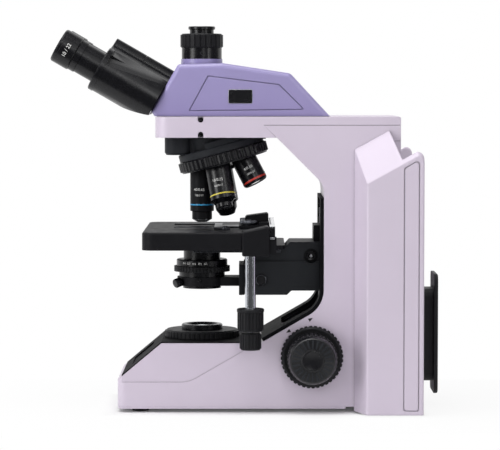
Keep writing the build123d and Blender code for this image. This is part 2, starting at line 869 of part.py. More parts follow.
# Lower stage plate and its rails
lower_half = 60.0
lower_front = -84.0
lower_back = 41.5
with BuildPart() as stage_lower_plate:
    with BuildSketch(Plane.XY.offset(carriage_top)):
        with Locations((0, (lower_front + lower_back) / 2)):
            RectangleRounded(2 * lower_half, lower_back - lower_front, 5)
        with Locations((0, optical_y)):
            Circle(22, mode=Mode.SUBTRACT)
    extrude(amount=lower_plate_thickness)
finish(stage_lower_plate, "stage_lower_plate")

with BuildPart() as stage_rails:
    with BuildSketch(Plane.XY.offset(carriage_top)):
        with Locations((0, -8)):
            with GridLocations(94, 0, 2, 1):
                Rectangle(6, 90)
    extrude(amount=-4.2)
finish(stage_rails, "stage_rails")

# Upper stage plate: a skirted slab that runs on the lower plate
runner_low = carriage_top + lower_plate_thickness + slide_gap
slab_low = stage_top - stage_slab
box_inner = 70.0
box_outer = 100.0
box_front = -2.6
with BuildPart() as stage_plate:
    extrude(
        shaped(
            Plane.XY.offset(stage_skirt_bottom),
            (-stage_half, stage_front, 12),
            (stage_half, stage_front, 12),
            (stage_half, stage_back),
            (-stage_half, stage_back, 6),
        ),
        amount=stage_top - stage_skirt_bottom,
    )
    rim = stage_plate.faces().sort_by(Axis.Z)[-1].edges().sort_by(Axis.Y)
    fillet(rim[:-1], 2.0)
    extrude(
        shaped(
            Plane.XY.offset(stage_skirt_bottom),
            (stage_skirt - stage_half, stage_front + stage_skirt, 9),
            (stage_half - stage_skirt, stage_front + stage_skirt, 9),
            (stage_half - stage_skirt, stage_back + 1),
            (stage_skirt - stage_half, stage_back + 1),
        ),
        amount=slab_low - stage_skirt_bottom,
        mode=Mode.SUBTRACT,
    )
    with BuildSketch(Plane.XY.offset(slab_low)):
        with Locations((0, -35)):
            with GridLocations(110, 0, 2, 1):
                Rectangle(6, 110)
    extrude(amount=runner_low - slab_low)
    with BuildSketch(Plane.XY.offset(stage_top)):
        with Locations((0, optical_y + (stage_travel_front - stage_travel_back) / 2)):
            SlotOverall(stage_travel_front + stage_travel_back + 36, 36, rotation=90)
    extrude(amount=-stage_slab, mode=Mode.SUBTRACT)
    with BuildSketch(Plane.XY.offset(stage_skirt_bottom)):
        with Locations((box_outer - slide_gap, stage_back)):
            Rectangle(2 * (box_outer - box_inner), 2 * (stage_back - box_front + slide_gap))
    extrude(amount=stage_top - stage_skirt_bottom, mode=Mode.SUBTRACT)
finish(stage_plate, "stage_plate")

# Drive box, post and the two coaxial drive knobs
box_low = 163.7
with BuildPart() as drive_box:
    extrude(
        shaped(
            Plane.YZ.offset(box_inner),
            (box_front, box_low, 2),
            (stage_back, box_low, 2),
            (stage_back, 194.5, 3),
            (box_front, stage_top + 0.5, 3),
        ),
        amount=box_outer - box_inner,
    )
    with BuildSketch(Plane.XY.offset(box_low + 2)):
        with Locations((88, stage_back + 3)):
            Rectangle(18, 8)
    extrude(amount=17)
    outer_edges = drive_box.faces().sort_by(Axis.X)[-1].edges()
    fillet(outer_edges, 2.0)
finish(drive_box, "drive_box")

y_knob_high = 109.6
y_knob_low = 86.6
x_knob_high = 84.8
x_knob_low = 67.3
post_step = 97.0
with BuildPart() as drive_post:
    turned(
        upright(post_x, post_y),
        (0, box_low),
        (post_radius, box_low),
        (post_radius, post_step),
        (spindle_radius, post_step),
        (spindle_radius, x_knob_low + 4),
        (0, x_knob_low + 4),
    )
finish(drive_post, "drive_post")

with BuildPart() as stage_y_knob:
    knob_top = Plane.XY.offset(y_knob_low + 1.5).shift_origin((post_x, post_y, y_knob_low + 1.5))
    fluted(knob_top, 13.4, 0.8, 24, y_knob_high - y_knob_low - 5)
    turned(
        upright(post_x, post_y),
        (0, y_knob_low),
        (12, y_knob_low),
        (12.7, y_knob_low + 1.5),
        (12.7, y_knob_high - 4),
        (13.9, y_knob_high - 3),
        (13.9, y_knob_high - 0.8),
        (13.2, y_knob_high),
        (0, y_knob_high),
    )
    with Locations((post_x, post_y, y_knob_high)):
        CounterBoreHole(
            spindle_radius + running_gap,
            post_radius + running_gap,
            y_knob_high - post_step + slide_gap,
        )
finish(stage_y_knob, "stage_y_knob")

with BuildPart() as stage_x_knob:
    knob_foot = Plane.XY.offset(x_knob_low + 1.5).shift_origin((post_x, post_y, x_knob_low + 1.5))
    fluted(knob_foot, 11.1, 0.7, 20, x_knob_high - x_knob_low - 3)
    turned(
        upright(post_x, post_y),
        (0, x_knob_low),
        (9.6, x_knob_low),
        (10.4, x_knob_low + 1.5),
        (10.4, x_knob_high - 1),
        (9.6, x_knob_high),
        (0, x_knob_high),
    )
    with Locations((post_x, post_y, x_knob_high)):
        Hole(spindle_radius + running_gap, depth=x_knob_high - x_knob_low - 4 + slide_gap)
finish(stage_x_knob, "stage_x_knob")

# Cross guide at the back of the stage, and the holder that runs along it
guide_back = 31.0
guide_high = 194.0
with BuildPart() as cross_guide:
    with BuildSketch(Plane.XY.offset(slab_low)):
        with Locations((11, (stage_back + guide_back) / 2)):
            Rectangle(172, guide_back - stage_back)
    extrude(amount=guide_high - slab_low)
finish(cross_guide, "cross_guide")

carrier_front = -6.0
holder_low = stage_top + slide_gap
holder_thickness = 1.2
screw_y = 3.4
with BuildPart() as slide_carrier:
    extrude(
        shaped(
            Plane.YZ,
            (carrier_front, holder_low),
            (stage_back - slide_gap, holder_low),
            (stage_back - slide_gap, guide_high + slide_gap),
            (guide_back + slide_gap, guide_high + slide_gap),
            (guide_back + slide_gap, holder_low),
            (guide_back + 4, holder_low),
            (guide_back + 4, 201, 2),
            (13, 198, 2),
            (13, 192),
            (carrier_front, 192, 1.5),
        ),
        amount=20,
        both=True,
    )
    with Locations((0, screw_y, 192)):
        Hole(2 + running_gap, depth=3)
finish(slide_carrier, "slide_carrier")

slide_half_length = 38.0
slide_half_width = 13.0
pivot_x = 45.0
pivot_y = -20.0
with BuildPart() as slide_holder:
    bar_front = optical_y + slide_half_width + slide_gap
    with BuildSketch(Plane.XY.offset(holder_low)):
        with Locations((0, bar_front + 4)):
            Rectangle(2 * slide_half_length + 16, 8)
        with Locations((0, (bar_front + carrier_front) / 2)):
            Rectangle(24, carrier_front - bar_front)
        with Locations((-slide_half_length - 4.3, optical_y - 4)):
            Rectangle(8, 52)
        with Locations((pivot_x, pivot_y)):
            Circle(5)
        with Locations((pivot_x - 2, (bar_front + pivot_y) / 2 + 1)):
            Rectangle(6, pivot_y - bar_front)
    extrude(amount=holder_thickness)
    with Locations((pivot_x, pivot_y, holder_low + holder_thickness + 1.2)):
        Cylinder(2, 2.4)
finish(slide_holder, "slide_holder")

with BuildPart() as slide_finger:
    finger_low = holder_low + holder_thickness + 0.2
    with BuildSketch(Plane.XY.offset(finger_low)):
        with Locations((pivot_x, pivot_y)):
            Circle(4.5)
        with BuildLine():
            Polyline(
                (pivot_x - 4, pivot_y),
                (pivot_x + 3, pivot_y),
                (pivot_x + 1.5, -50),
                (slide_half_length + 2, -73),
                (slide_half_length + 0.4, -73),
                (slide_half_length + 0.4, -44),
                close=True,
            )
        make_face()
        with Locations((pivot_x, pivot_y)):
            Circle(2 + running_gap, mode=Mode.SUBTRACT)
    extrude(amount=0.9)
finish(slide_finger, "slide_finger")

# Condenser: holder on the carriage's guides, body, lens, aperture ring and clamp screw
condenser_slide_low = 118.0
condenser_slide_high = 150.0
collar_low = 127.0
collar_high = 136.0
condenser_rack_teeth = 10
with BuildPart() as condenser_holder:
    with BuildSketch(Plane.XY.offset(condenser_slide_low)):
        with Locations((0, -3 - slide_gap / 2)):
            Rectangle(2 * (guide_inner - slide_gap), 6 - slide_gap)
        with Locations((0, -3.5)):
            Rectangle(2 * (guide_inner + 2), 2)
    extrude(amount=condenser_slide_high - condenser_slide_low)
    with BuildSketch(Plane.XY.offset(collar_low)):
        with Locations((0, optical_y)):
            Circle(condenser_bore + 6)
        with Locations((0, (optical_y - 6) / 2)):
            Rectangle(34, -6 - optical_y)
        with Locations((0, optical_y)):
            Circle(condenser_bore + snug_gap, mode=Mode.SUBTRACT)
    extrude(amount=collar_high - collar_low)
    extrude(
        rack_outline(
            Plane.YZ,
            condenser_rack_line,
            -1.0,
            condenser_shaft_z - 2 * tooth_pitch,
            condenser_rack_teeth,
            -1,
        ),
        amount=4,
        both=True,
    )
finish(condenser_holder, "condenser_holder")

ring_neck = 22.0
aperture_low = 141.6
aperture_high = 147.2
with BuildPart() as condenser_body:
    turned(
        upright(0, optical_y),
        (15, 124),
        (condenser_bore, 124),
        (condenser_bore, collar_high + snug_gap),
        (24, collar_high + snug_gap),
        (24, aperture_low - slide_gap),
        (ring_neck, aperture_low - slide_gap),
        (ring_neck, aperture_high + slide_gap),
        (26.7, aperture_high + slide_gap),
        (26.7, 153.5),
        (25.7, 154.5),
        (19.3, 154.5),
        (19.3, condenser_top - 1),
        (18.3, condenser_top),
        (15, condenser_top),
    )
finish(condenser_body, "condenser_body")

with BuildPart() as condenser_lens:
    lens_radius = 15 - snug_gap
    turned(
        upright(0, optical_y),
        (0, 166),
        (8, 167.5),
        (lens_radius, 172),
        (lens_radius, condenser_top - 2),
        (9, condenser_top - 0.7),
        (0, condenser_top - 0.4),
    )
finish(condenser_lens, "condenser_lens")

with BuildPart() as aperture_ring:
    ring_plane = Plane.XY.offset(aperture_low).shift_origin((0, optical_y, aperture_low))
    fluted(ring_plane, 29.3, 0.7, 48, aperture_high - aperture_low)
    with Locations((0, optical_y, aperture_high)):
        Hole(ring_neck + running_gap)
finish(aperture_ring, "aperture_ring")

with BuildPart() as condenser_knob:
    with BuildSketch(Plane.YZ.offset(-carriage_half - 14)):
        with Locations((condenser_shaft_y, condenser_shaft_z)):
            Circle(spindle_radius)
    extrude(amount=2 * carriage_half + 14 + slide_gap + 2)
    with BuildSketch(Plane.YZ.offset(carriage_half + slide_gap)):
        with Locations((condenser_shaft_y, condenser_shaft_z)):
            Circle(5.8)
    extrude(amount=2)
    pinion_plane = Plane.YZ.offset(-4).shift_origin((-4, condenser_shaft_y, condenser_shaft_z))
    extrude(pinion_outline(pinion_plane, pinion_teeth, 180), amount=8)
    knob_face = Plane(
        origin=(-carriage_half - slide_gap, condenser_shaft_y, condenser_shaft_z),
        x_dir=(0, 1, 0),
        z_dir=(-1, 0, 0),
    )
    fluted(knob_face.offset(1), 12, 0.8, 24, 14)
    with BuildSketch(knob_face):
        Circle(10.5)
    extrude(amount=17)
finish(condenser_knob, "condenser_knob")

# Nosepiece: the fixed mount under the arm, the turret and five objectives
tilt = radians(turret_tilt)
turret_axis = Vector(0, sin(tilt), -cos(tilt))
turret_front = Vector(0, -cos(tilt), -sin(tilt))
turret_centre = Vector(0, turret_y, turret_z)
turret_plane = axial_plane(turret_centre, turret_axis)
pivot_radius = 8.0
boss_length = 6.0
thread_radius = 10.1
seat_radius = 13.2
nose_block = (52.0, 43.5)
nose_block_low = 264.0
nose_block_y = -61.75
ring_half = turret_thickness / 2
with BuildPart() as nosepiece_mount:
    turned(
        turret_plane,
        (0, ring_half + 8),
        (pivot_radius, ring_half + 8),
        (pivot_radius, -ring_half - slide_gap),
        (43, -ring_half - slide_gap),
        (42, -ring_half - 9, 2),
        (34, -ring_half - 11),
        (34, -45),
        (0, -45),
    )
    with BuildSketch(Plane.XY.offset(nose_block_low)):
        with Locations((0, nose_block_y)):
            RectangleRounded(*nose_block, 9)
    extrude(amount=arm_under - nose_block_low)
    split(bisect_by=Plane.XY.offset(arm_under), keep=Keep.BOTTOM)
    with Locations((0, optical_y, arm_under)):
        Hole(11.0)
finish(nosepiece_mount, "nosepiece_mount")


def seat_plane(place):
    # The plane along one objective: origin on the turret's pitch circle, y down the objective.
    turn = 2 * pi * place / objective_count
    out = turret_front * cos(turn) + Vector(1, 0, 0) * sin(turn)
    along = turret_axis * cos(tilt) + out * sin(tilt)
    across = turret_axis.cross(out)
    return axial_plane(turret_centre + out * objective_circle, along, tuple(across))


with BuildPart() as nosepiece_turret:
    rim_plane = Plane(origin=turret_centre - turret_axis * ring_half, x_dir=(1, 0, 0), z_dir=turret_axis)
    fluted(rim_plane.offset(1), turret_radius, 1.0, 60, turret_thickness - 2.5)
    turned(
        turret_plane,
        (0, -ring_half),
        (turret_radius - 1.6, -ring_half),
        (turret_radius - 1.6, ring_half),
        (0, ring_half),
    )
    # the hollow cone inside the rim, square to every objective
    turned(
        turret_plane,
        (0, ring_half + 5),
        (seat_radius - 1, ring_half + 4.1),
        (turret_radius - 6.5, ring_half - 3.2),
        (0, ring_half - 3.2),
    )
    turned(
        turret_plane,
        (seat_radius - 1, ring_half + 4.1),
        (turret_radius - 6.5, ring_half - 3.2),
        (turret_radius - 5.5, ring_half + 4.1),
        mode=Mode.SUBTRACT,
    )
    for place in range(objective_count):
        turned(seat_plane(place), (0, 0), (seat_radius, 0), (seat_radius, boss_length), (0, boss_length))
    for place in range(objective_count):
        bore = thread_radius + snug_gap
        turned(seat_plane(place), (0, -14), (bore, -14), (bore, 8), (0, 8), mode=Mode.SUBTRACT)
    with BuildSketch(rim_plane.offset(-6)):
        Circle(pivot_radius + running_gap)
    extrude(amount=ring_half * 2 + 14.3, mode=Mode.SUBTRACT)
finish(nosepiece_turret, "nosepiece_turret")

# Each objective's profile below its shoulder: (radius, distance along it)
body_radius = 12.45
objective_profiles = {
    "objective_20x": [(body_radius, 49), (10.45, 49.6), (10.45, 57.6), (6, 57.6), (5.6, 60.3)],
    "objective_10x": [(body_radius, 38), (9.8, 40.5), (9.8, 47), (7.5, 50)],
    "objective_4x": [(12.0, 33), (11.2, 34)],
    "objective_40x": [(body_radius, 47), (10.2, 48), (10.2, 54), (4.5, 63.3)],
    "objective_100x": [(body_radius, 45), (9.8, 46.5), (9.8, 55), (4.0, 63.3)],
}
for place, (name, profile) in enumerate(objective_profiles.items()):
    with BuildPart() as objective:
        end = profile[-1][1]
        turned(
            seat_plane(place),
            (0, 0),
            (thread_radius, 0),
            (thread_radius, boss_length + snug_gap),
            (profile[0][0], boss_length + snug_gap),
            *profile,
            (0.55 * profile[-1][0], end),
            (0.4 * profile[-1][0], end - 0.8),
            (0, end - 0.6),
        )
    finish(objective, name)

# Head: housing on its round dovetail, turned and clamped over the arm
tube_plane = Plane(
    origin=(0, tube_pivot_y, tube_pivot_z),
    x_dir=(1, 0, 0),
    z_dir=(0, -cos(radians(tube_tilt)), sin(radians(tube_tilt))),
)
face_foot = tube_plane.from_local_coords(Vector(0, -39, 0))
face_head = tube_plane.from_local_coords(Vector(0, 17, 0))
hinge_radius = 3.5
port_root = port_seat - 19
stud_foot = arm_top_height - dovetail_depth - slide_gap
stud_root = head_bottom + 5.2
selector_y = -18.0
selector_z = head_bottom + 21.2
selector_radius = 3.0
with BuildPart() as head_housing:
    extrude(
        shaped(
            Plane.YZ,
            (head_front, head_bottom),
            (face_foot.Y, face_foot.Z, 2),
            (face_head.Y, face_head.Z, 4),
            (-23, head_ridge),
            (47, head_shoulder, 8),
            (head_back, head_bottom),
        ),
        amount=head_half,
        both=True,
    )
    for side in (-1, 1):
        flank = head_housing.faces().sort_by(Axis.X)[-1 if side > 0 else 0]
        fillet(flank.edges().sort_by(Axis.Z)[1:], 5.0)
    turned(
        upright(0, optical_y),
        (0, port_root),
        (port_radius + 1.5, port_root),
        (port_radius + 0.6, port_seat),
        (0, port_seat),
    )
    turned(
        upright(0, optical_y),
        (0, stud_foot),
        (dovetail_radius, stud_foot),
        (dovetail_radius, stud_root),
        (0, stud_root),
    )
    for inset, cut in ((0.0, Mode.SUBTRACT), (line_width, Mode.ADD)):
        for side in (-1, 1):
            extrude(
                shaped(
                    Plane.YZ.offset(side * head_half),
                    (-38 + inset, head_bottom + 41.8 - inset, 1),
                    (36 - inset, head_bottom + 32.9 - inset, 1),
                    (62 - 2 * inset, head_bottom + 6.6 + inset, 1),
                    (-58 + 2 * inset, head_bottom + 5.2 + inset, 1),
                ),
                amount=-side * line_depth,
                mode=cut,
            )
    with BuildSketch(tube_plane):
        Circle(hinge_radius + snug_gap)
    extrude(amount=-14, mode=Mode.SUBTRACT)
    with Locations((0, optical_y, port_seat)):
        Hole(12, depth=port_seat - stud_foot - 20)
    with BuildSketch(Plane.YZ.offset(-head_half)):
        with Locations((selector_y, selector_z)):
            Circle(selector_radius + running_gap)
    extrude(amount=25, mode=Mode.SUBTRACT)
finish(head_housing, "head_housing")

with BuildPart() as beam_selector:
    with BuildSketch(Plane.YZ.offset(-head_half + 24)):
        with Locations((selector_y, selector_z)):
            Circle(selector_radius)
    extrude(amount=-36)
    turned(
        axial_plane((-head_half - 4, selector_y, selector_z), (-1, 0, 0), (0, 1, 0)),
        (0, 0),
        (5.5, 0),
        (6.5, 8, 2),
        (5, 13, 1.5),
        (0, 13),
    )
finish(beam_selector, "beam_selector")

# Photo port: tube, clamp ring and the insert with its standard bore
insert_radius = 12.55
collar_step = 17.0
flange_thickness = 3.0
with BuildPart() as photo_tube:
    turned(
        upright(0, optical_y),
        (insert_radius + snug_gap, port_seat),
        (port_radius, port_seat),
        (port_radius, clamp_low - slide_gap),
        (collar_step, clamp_low - slide_gap),
        (collar_step, clamp_high - 2),
        (insert_radius + snug_gap, clamp_high - 2),
    )
finish(photo_tube, "photo_tube")

with BuildPart() as photo_clamp_ring:
    clamp_plane = Plane.XY.offset(clamp_low + 1).shift_origin((0, optical_y, clamp_low + 1))
    fluted(clamp_plane, 22.35, 0.9, 24, clamp_high - clamp_low - 2.2, land=0.7)
    turned(
        upright(0, optical_y),
        (0, clamp_low),
        (21.3, clamp_low),
        (21.3, clamp_high - 1),
        (20.3, clamp_high),
        (0, clamp_high),
    )
    with BuildSketch(Plane.XY.offset(clamp_low)):
        with Locations((0, optical_y)):
            Circle(collar_step + running_gap)
    extrude(amount=clamp_high - clamp_low, mode=Mode.SUBTRACT)
finish(photo_clamp_ring, "photo_clamp_ring")

with BuildPart() as photo_insert:
    turned(
        upright(0, optical_y),
        (port_bore, port_seat + 2),
        (insert_radius, port_seat + 2),
        (insert_radius, port_top - flange_thickness - 0.4),
        (insert_radius + 1.45, port_top - flange_thickness),
        (insert_radius + 1.45, port_top - 0.6),
        (insert_radius + 0.85, port_top),
        (port_bore, port_top),
    )
finish(photo_insert, "photo_insert")

# Binocular tubes: two housings that fold about one hinge
knuckle_split = 33.7
knuckle_radius = 7.0
barrel_radius = 23.8
collar_radius = 24.4
collar_foot = 64.0
tube_foot = 69.6
tube_end = 90.4
diopter_end = 97.2
eye_end = 117.5
barrel_bore = 15.05
face_gap = 0.4
with BuildPart() as hinge_shaft:
    with BuildSketch(tube_plane.offset(-12)):
        Circle(hinge_radius)
    extrude(amount=12 + tube_foot - 2)
finish(hinge_shaft, "hinge_shaft")

hinge_reach = sqrt(tube_half_spacing ** 2 + tube_drop ** 2)
centre_line = Vector(tube_half_spacing, -tube_drop) / hinge_reach
flank_side = Vector(tube_drop, tube_half_spacing) / hinge_reach
flank_lean = (barrel_radius - knuckle_radius) / hinge_reach
flank_normal = flank_side * sqrt(1 - flank_lean ** 2) - centre_line * flank_lean
inner_turn = asin(tube_half_spacing / hinge_reach) - asin(barrel_radius / hinge_reach)
inner_reach = sqrt(hinge_reach ** 2 - barrel_radius ** 2)
barrel_spot = Vector(tube_half_spacing, -tube_drop)
web_corners = [
    Vector(0, 0),
    flank_normal * knuckle_radius,
    barrel_spot + flank_normal * barrel_radius,
    barrel_spot,
    Vector(sin(inner_turn), -cos(inner_turn)) * inner_reach,
]


def barrel_plane(side):
    foot = tube_plane.from_local_coords(Vector(side * tube_half_spacing, -tube_drop, 0))
    return axial_plane(foot, tube_plane.z_dir)


def hinge_bar(radius, low, high, mode):
    with BuildSketch(tube_plane.offset(low)) as section:
        Circle(radius)
    extrude(section.sketch, amount=high - low, mode=mode)


for side, word in ((1, "right"), (-1, "left")):
    own = (knuckle_split, tube_foot) if side > 0 else (face_gap, knuckle_split - slide_gap)
    other = (0, knuckle_split) if side > 0 else (knuckle_split - slide_gap, eye_end)
    axis_plane = barrel_plane(side)
    with BuildPart() as tube_housing:
        web = [(side * corner.X, corner.Y) for corner in web_corners]
        extrude(shaped(tube_plane.offset(face_gap), *web), amount=tube_foot - face_gap)
        hinge_bar(knuckle_radius + 0.6, *other, Mode.SUBTRACT)
        hinge_bar(knuckle_radius, *own, Mode.ADD)
        turned(
            axis_plane,
            (0, face_gap),
            (15.8, face_gap),
            (barrel_radius, 22, 26),
            (barrel_radius, collar_foot),
            (collar_radius, collar_foot),
            (collar_radius, tube_foot - 1),
            (collar_radius - 1, tube_foot),
            (eyetube_radius, tube_foot),
            (eyetube_radius, tube_end),
            (eyetube_radius - 0.6, tube_end),
            (eyetube_radius - 0.6, diopter_end),
            (0, diopter_end),
        )
        turned(axis_plane, (0, 58), (barrel_bore, 58), (barrel_bore, 100), (0, 100), mode=Mode.SUBTRACT)
        hinge_bar(hinge_radius + running_gap, 0, eye_end, Mode.SUBTRACT)
    finish(tube_housing, f"tube_{word}")

    with BuildPart() as diopter_ring:
        turned(
            axis_plane,
            (eyetube_radius - 0.6 + running_gap, tube_end + slide_gap),
            (eyetube_radius + 0.8, tube_end + slide_gap),
            (eyetube_radius + 0.8, diopter_end - slide_gap),
            (eyetube_radius - 0.6 + running_gap, diopter_end - slide_gap),
        )
    finish(diopter_ring, f"diopter_{word}")

    with BuildPart() as eyepiece:
        turned(
            axis_plane,
            (11, 62),
            (barrel_bore - snug_gap, 62),
            (barrel_bore - snug_gap, diopter_end + snug_gap),
            (17.6, diopter_end + snug_gap),
            (18.3, diopter_end + 1),
            (18.3, eye_end - 4.2),
            (12, eye_end - 4.2),
            (11, eye_end - 6),
        )
        turned(
            axis_plane,
            (13, eye_end - 4.1),
            (18.3, eye_end - 4.1),
            (18.3, eye_end - 1.5),
            (17.3, eye_end),
            (15, eye_end),
            (13, eye_end - 2),
        )
    finish(eyepiece, f"eyepiece_{word}")
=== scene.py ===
import math
import bmesh
import bpy
from mathutils import Matrix, Vector


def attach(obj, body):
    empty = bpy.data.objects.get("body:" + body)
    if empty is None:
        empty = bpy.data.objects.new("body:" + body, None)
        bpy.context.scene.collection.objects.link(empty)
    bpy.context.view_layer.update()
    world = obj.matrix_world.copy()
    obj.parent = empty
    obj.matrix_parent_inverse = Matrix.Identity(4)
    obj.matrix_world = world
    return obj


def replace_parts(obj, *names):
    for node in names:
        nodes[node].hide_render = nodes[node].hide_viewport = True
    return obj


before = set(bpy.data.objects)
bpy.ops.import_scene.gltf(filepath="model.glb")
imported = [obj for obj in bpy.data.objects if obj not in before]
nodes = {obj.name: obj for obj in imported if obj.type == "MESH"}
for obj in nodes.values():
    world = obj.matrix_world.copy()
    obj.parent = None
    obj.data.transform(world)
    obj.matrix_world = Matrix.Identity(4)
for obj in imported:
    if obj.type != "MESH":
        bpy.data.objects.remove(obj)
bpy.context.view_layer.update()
scene = bpy.context.scene
scene.view_settings.view_transform = "Standard"
print("frame loaded,", len(nodes), "nodes")

mm = 0.001
white = (1.0, 1.0, 1.0, 1.0)
hands = {"right": 1, "left": -1}  # the user's right is +X


def linear(red, green, blue):
    # screen colour 0-255 to the linear values that sockets take
    def channel(level):
        level /= 255
        return level / 12.92 if level <= 0.04045 else ((level + 0.055) / 1.055) ** 2.4
    return (channel(red), channel(green), channel(blue), 1.0)


def shade(colour, factor):
    return tuple(min(1.0, part * factor) for part in colour[:3]) + (1.0,)


# nodes that the studio and the finishes share


def emptyTree(owner):
    owner.use_nodes = True
    owner.node_tree.nodes.clear()
    return owner.node_tree


def feed(tree, socket, source):
    # a socket takes another node's output or a plain value
    if isinstance(source, bpy.types.NodeSocket):
        tree.links.new(source, socket)
    else:
        socket.default_value = source


def mathNode(tree, operation, first, second=0.0):
    node = tree.nodes.new("ShaderNodeMath")
    node.operation = operation
    feed(tree, node.inputs[0], first)
    feed(tree, node.inputs[1], second)
    return node.outputs[0]


def rangeNode(tree, source, start, end, low, high, kind="LINEAR"):
    node = tree.nodes.new("ShaderNodeMapRange")
    node.interpolation_type = kind
    feed(tree, node.inputs["Value"], source)
    for key, value in (("From Min", start), ("From Max", end), ("To Min", low), ("To Max", high)):
        node.inputs[key].default_value = value
    return node.outputs[0]


def noiseNode(tree, scale, detail, spot=None):
    node = tree.nodes.new("ShaderNodeTexNoise")
    node.inputs["Scale"].default_value = scale
    node.inputs["Detail"].default_value = detail
    if spot is not None:
        tree.links.new(spot, node.inputs["Vector"])
    return node.outputs["Fac"]


def colourMix(tree, share, first, second, kind="MIX"):
    node = tree.nodes.new("ShaderNodeMix")
    node.data_type = "RGBA"
    node.blend_type = kind
    for key, source in (("Factor", share), ("A", first), ("B", second)):
        feed(tree, node.inputs[key], source)
    return node.outputs["Result"]


def mixShaders(tree, share, first, second, outputKind):
    mix = tree.nodes.new("ShaderNodeMixShader")
    out = tree.nodes.new(outputKind)
    tree.links.new(share, mix.inputs["Fac"])
    tree.links.new(first.outputs[0], mix.inputs[1])
    tree.links.new(second.outputs[0], mix.inputs[2])
    tree.links.new(mix.outputs[0], out.inputs["Surface"])


def seenDirectly(tree):
    # 1 for camera, glossy and transmission rays, which get the plain white background
    path = tree.nodes.new("ShaderNodeLightPath")
    direct = mathNode(tree, "MAXIMUM", path.outputs["Is Camera Ray"], path.outputs["Is Glossy Ray"])
    return mathNode(tree, "MAXIMUM", direct, path.outputs["Is Transmission Ray"])


# camera, floor and lamps

photoView = {
    "eye": (2.520, 0.0055, 0.340),
    "dip": math.radians(3.41),  # looks down a little, no shift
    "lens": 172.8,
    "sensor": 36.0,
    "farthest": 50.0,
}
studio = {
    "floorSize": 24.0,
    "floorColour": (0.86, 0.86, 0.86, 1.0),
    "footprint": (0.070, 0.150, 0.020),  # half width, half length and middle of the stand, metres
    "floorGlow": (0.05, 0.90),  # share of plain white seen under the stand and just beside it
    "contactReach": (-0.004, 0.020),  # from under the stand to beside it, metres
    "shadowReach": (0.02, 0.16),  # from here outward the floor fades to plain white, metres
    "ambient": 0.40,
    "lamps": [
        # name, place, aim, size across, size along, watts
        ("topLamp", (0.30, -0.35, 2.3), (0.0, 0.0, 0.2), 1.4, 1.4, 36.0),
        ("leftKey", (1.45, -2.05, 0.95), (0.0, 0.0, 0.22), 0.9, 1.8, 27.0),
        ("frontFill", (2.75, 0.50, 1.05), (0.0, 0.0, 0.25), 0.5, 1.2, 9.0),
        ("rightStrip", (1.95, 1.65, 0.95), (0.0, 0.0, 0.22), 0.24, 1.7, 9.0),
    ],
    "highlightsOnly": ["rightStrip"],  # shows in gloss and casts no second shadow
    "cards": [
        # name, place, aim, width, height, grey; only glossy rays see them, so that blacks stay black
        ("cameraCard", (3.4, 0.0, 0.6), (0.0, 0.0, 0.25), 6.4, 2.6, 0.02),
        ("apronCard", (1.80, 0.0, 0.004), (1.80, 0.0, 1.0), 2.9, 5.2, 0.10),
        ("leftCard", (0.5, -3.4, 0.9), (0.0, 0.0, 0.4), 3.6, 2.4, 0.10),
        ("rightCard", (0.5, 3.4, 0.9), (0.0, 0.0, 0.4), 3.6, 2.4, 0.10),
        ("roofCard", (0.0, 0.0, 3.2), (0.0, 0.0, 0.3), 4.2, 4.2, 0.22),
    ],
    "weave": {"scale": 3.0, "detail": 2.0, "spread": (0.8, 1.2)},  # unevenness of the cards' grey
}


def aimed(place, aim, front):
    return (Vector(aim) - Vector(place)).to_track_quat(front, "Y").to_euler()


def makeCamera():
    data = bpy.data.cameras.new("photoCamera")
    data.lens = photoView["lens"]
    data.sensor_width = photoView["sensor"]
    data.clip_end = photoView["farthest"]
    camera = bpy.data.objects.new("photoCamera", data)
    camera.location = photoView["eye"]
    look = Vector((-math.cos(photoView["dip"]), 0, -math.sin(photoView["dip"])))
    camera.rotation_euler = look.to_track_quat("-Z", "Y").to_euler()
    scene.collection.objects.link(camera)
    scene.camera = camera


def makeWorld():
    world = bpy.data.worlds.new("studioWorld")
    scene.world = world
    tree = emptyTree(world)
    skies = []
    for strength in (studio["ambient"], 1.0):
        sky = tree.nodes.new("ShaderNodeBackground")
        sky.inputs["Color"].default_value = white
        sky.inputs["Strength"].default_value = strength
        skies.append(sky)
    mixShaders(tree, seenDirectly(tree), *skies, "ShaderNodeOutputWorld")


def makeFloor():
    bpy.ops.mesh.primitive_plane_add(size=studio["floorSize"])
    floor = bpy.context.object
    floor.name = "studioFloor"
    material = bpy.data.materials.new("paleFloor")
    tree = emptyTree(material)
    matt = tree.nodes.new("ShaderNodeBsdfDiffuse")
    matt.inputs["Color"].default_value = studio["floorColour"]
    glow = tree.nodes.new("ShaderNodeEmission")
    glow.inputs["Color"].default_value = white
    glow.inputs["Strength"].default_value = 1.0
    spot = tree.nodes.new("ShaderNodeTexCoord")
    split = tree.nodes.new("ShaderNodeSeparateXYZ")
    tree.links.new(spot.outputs["Object"], split.inputs[0])
    halfWidth, halfLength, middle = studio["footprint"]
    across = mathNode(tree, "SUBTRACT", mathNode(tree, "ABSOLUTE", split.outputs["X"]), halfWidth)
    shifted = mathNode(tree, "ABSOLUTE", mathNode(tree, "SUBTRACT", split.outputs["Y"], middle))
    outside = mathNode(tree, "MAXIMUM", across, mathNode(tree, "SUBTRACT", shifted, halfLength))
    beside = rangeNode(tree, outside, *studio["contactReach"], *studio["floorGlow"], "SMOOTHSTEP")
    away = rangeNode(tree, outside, *studio["shadowReach"], 0.0, 1.0, "SMOOTHSTEP")
    share = mathNode(tree, "MULTIPLY", seenDirectly(tree), mathNode(tree, "MAXIMUM", beside, away))
    mixShaders(tree, share, matt, glow, "ShaderNodeOutputMaterial")
    floor.data.materials.append(material)


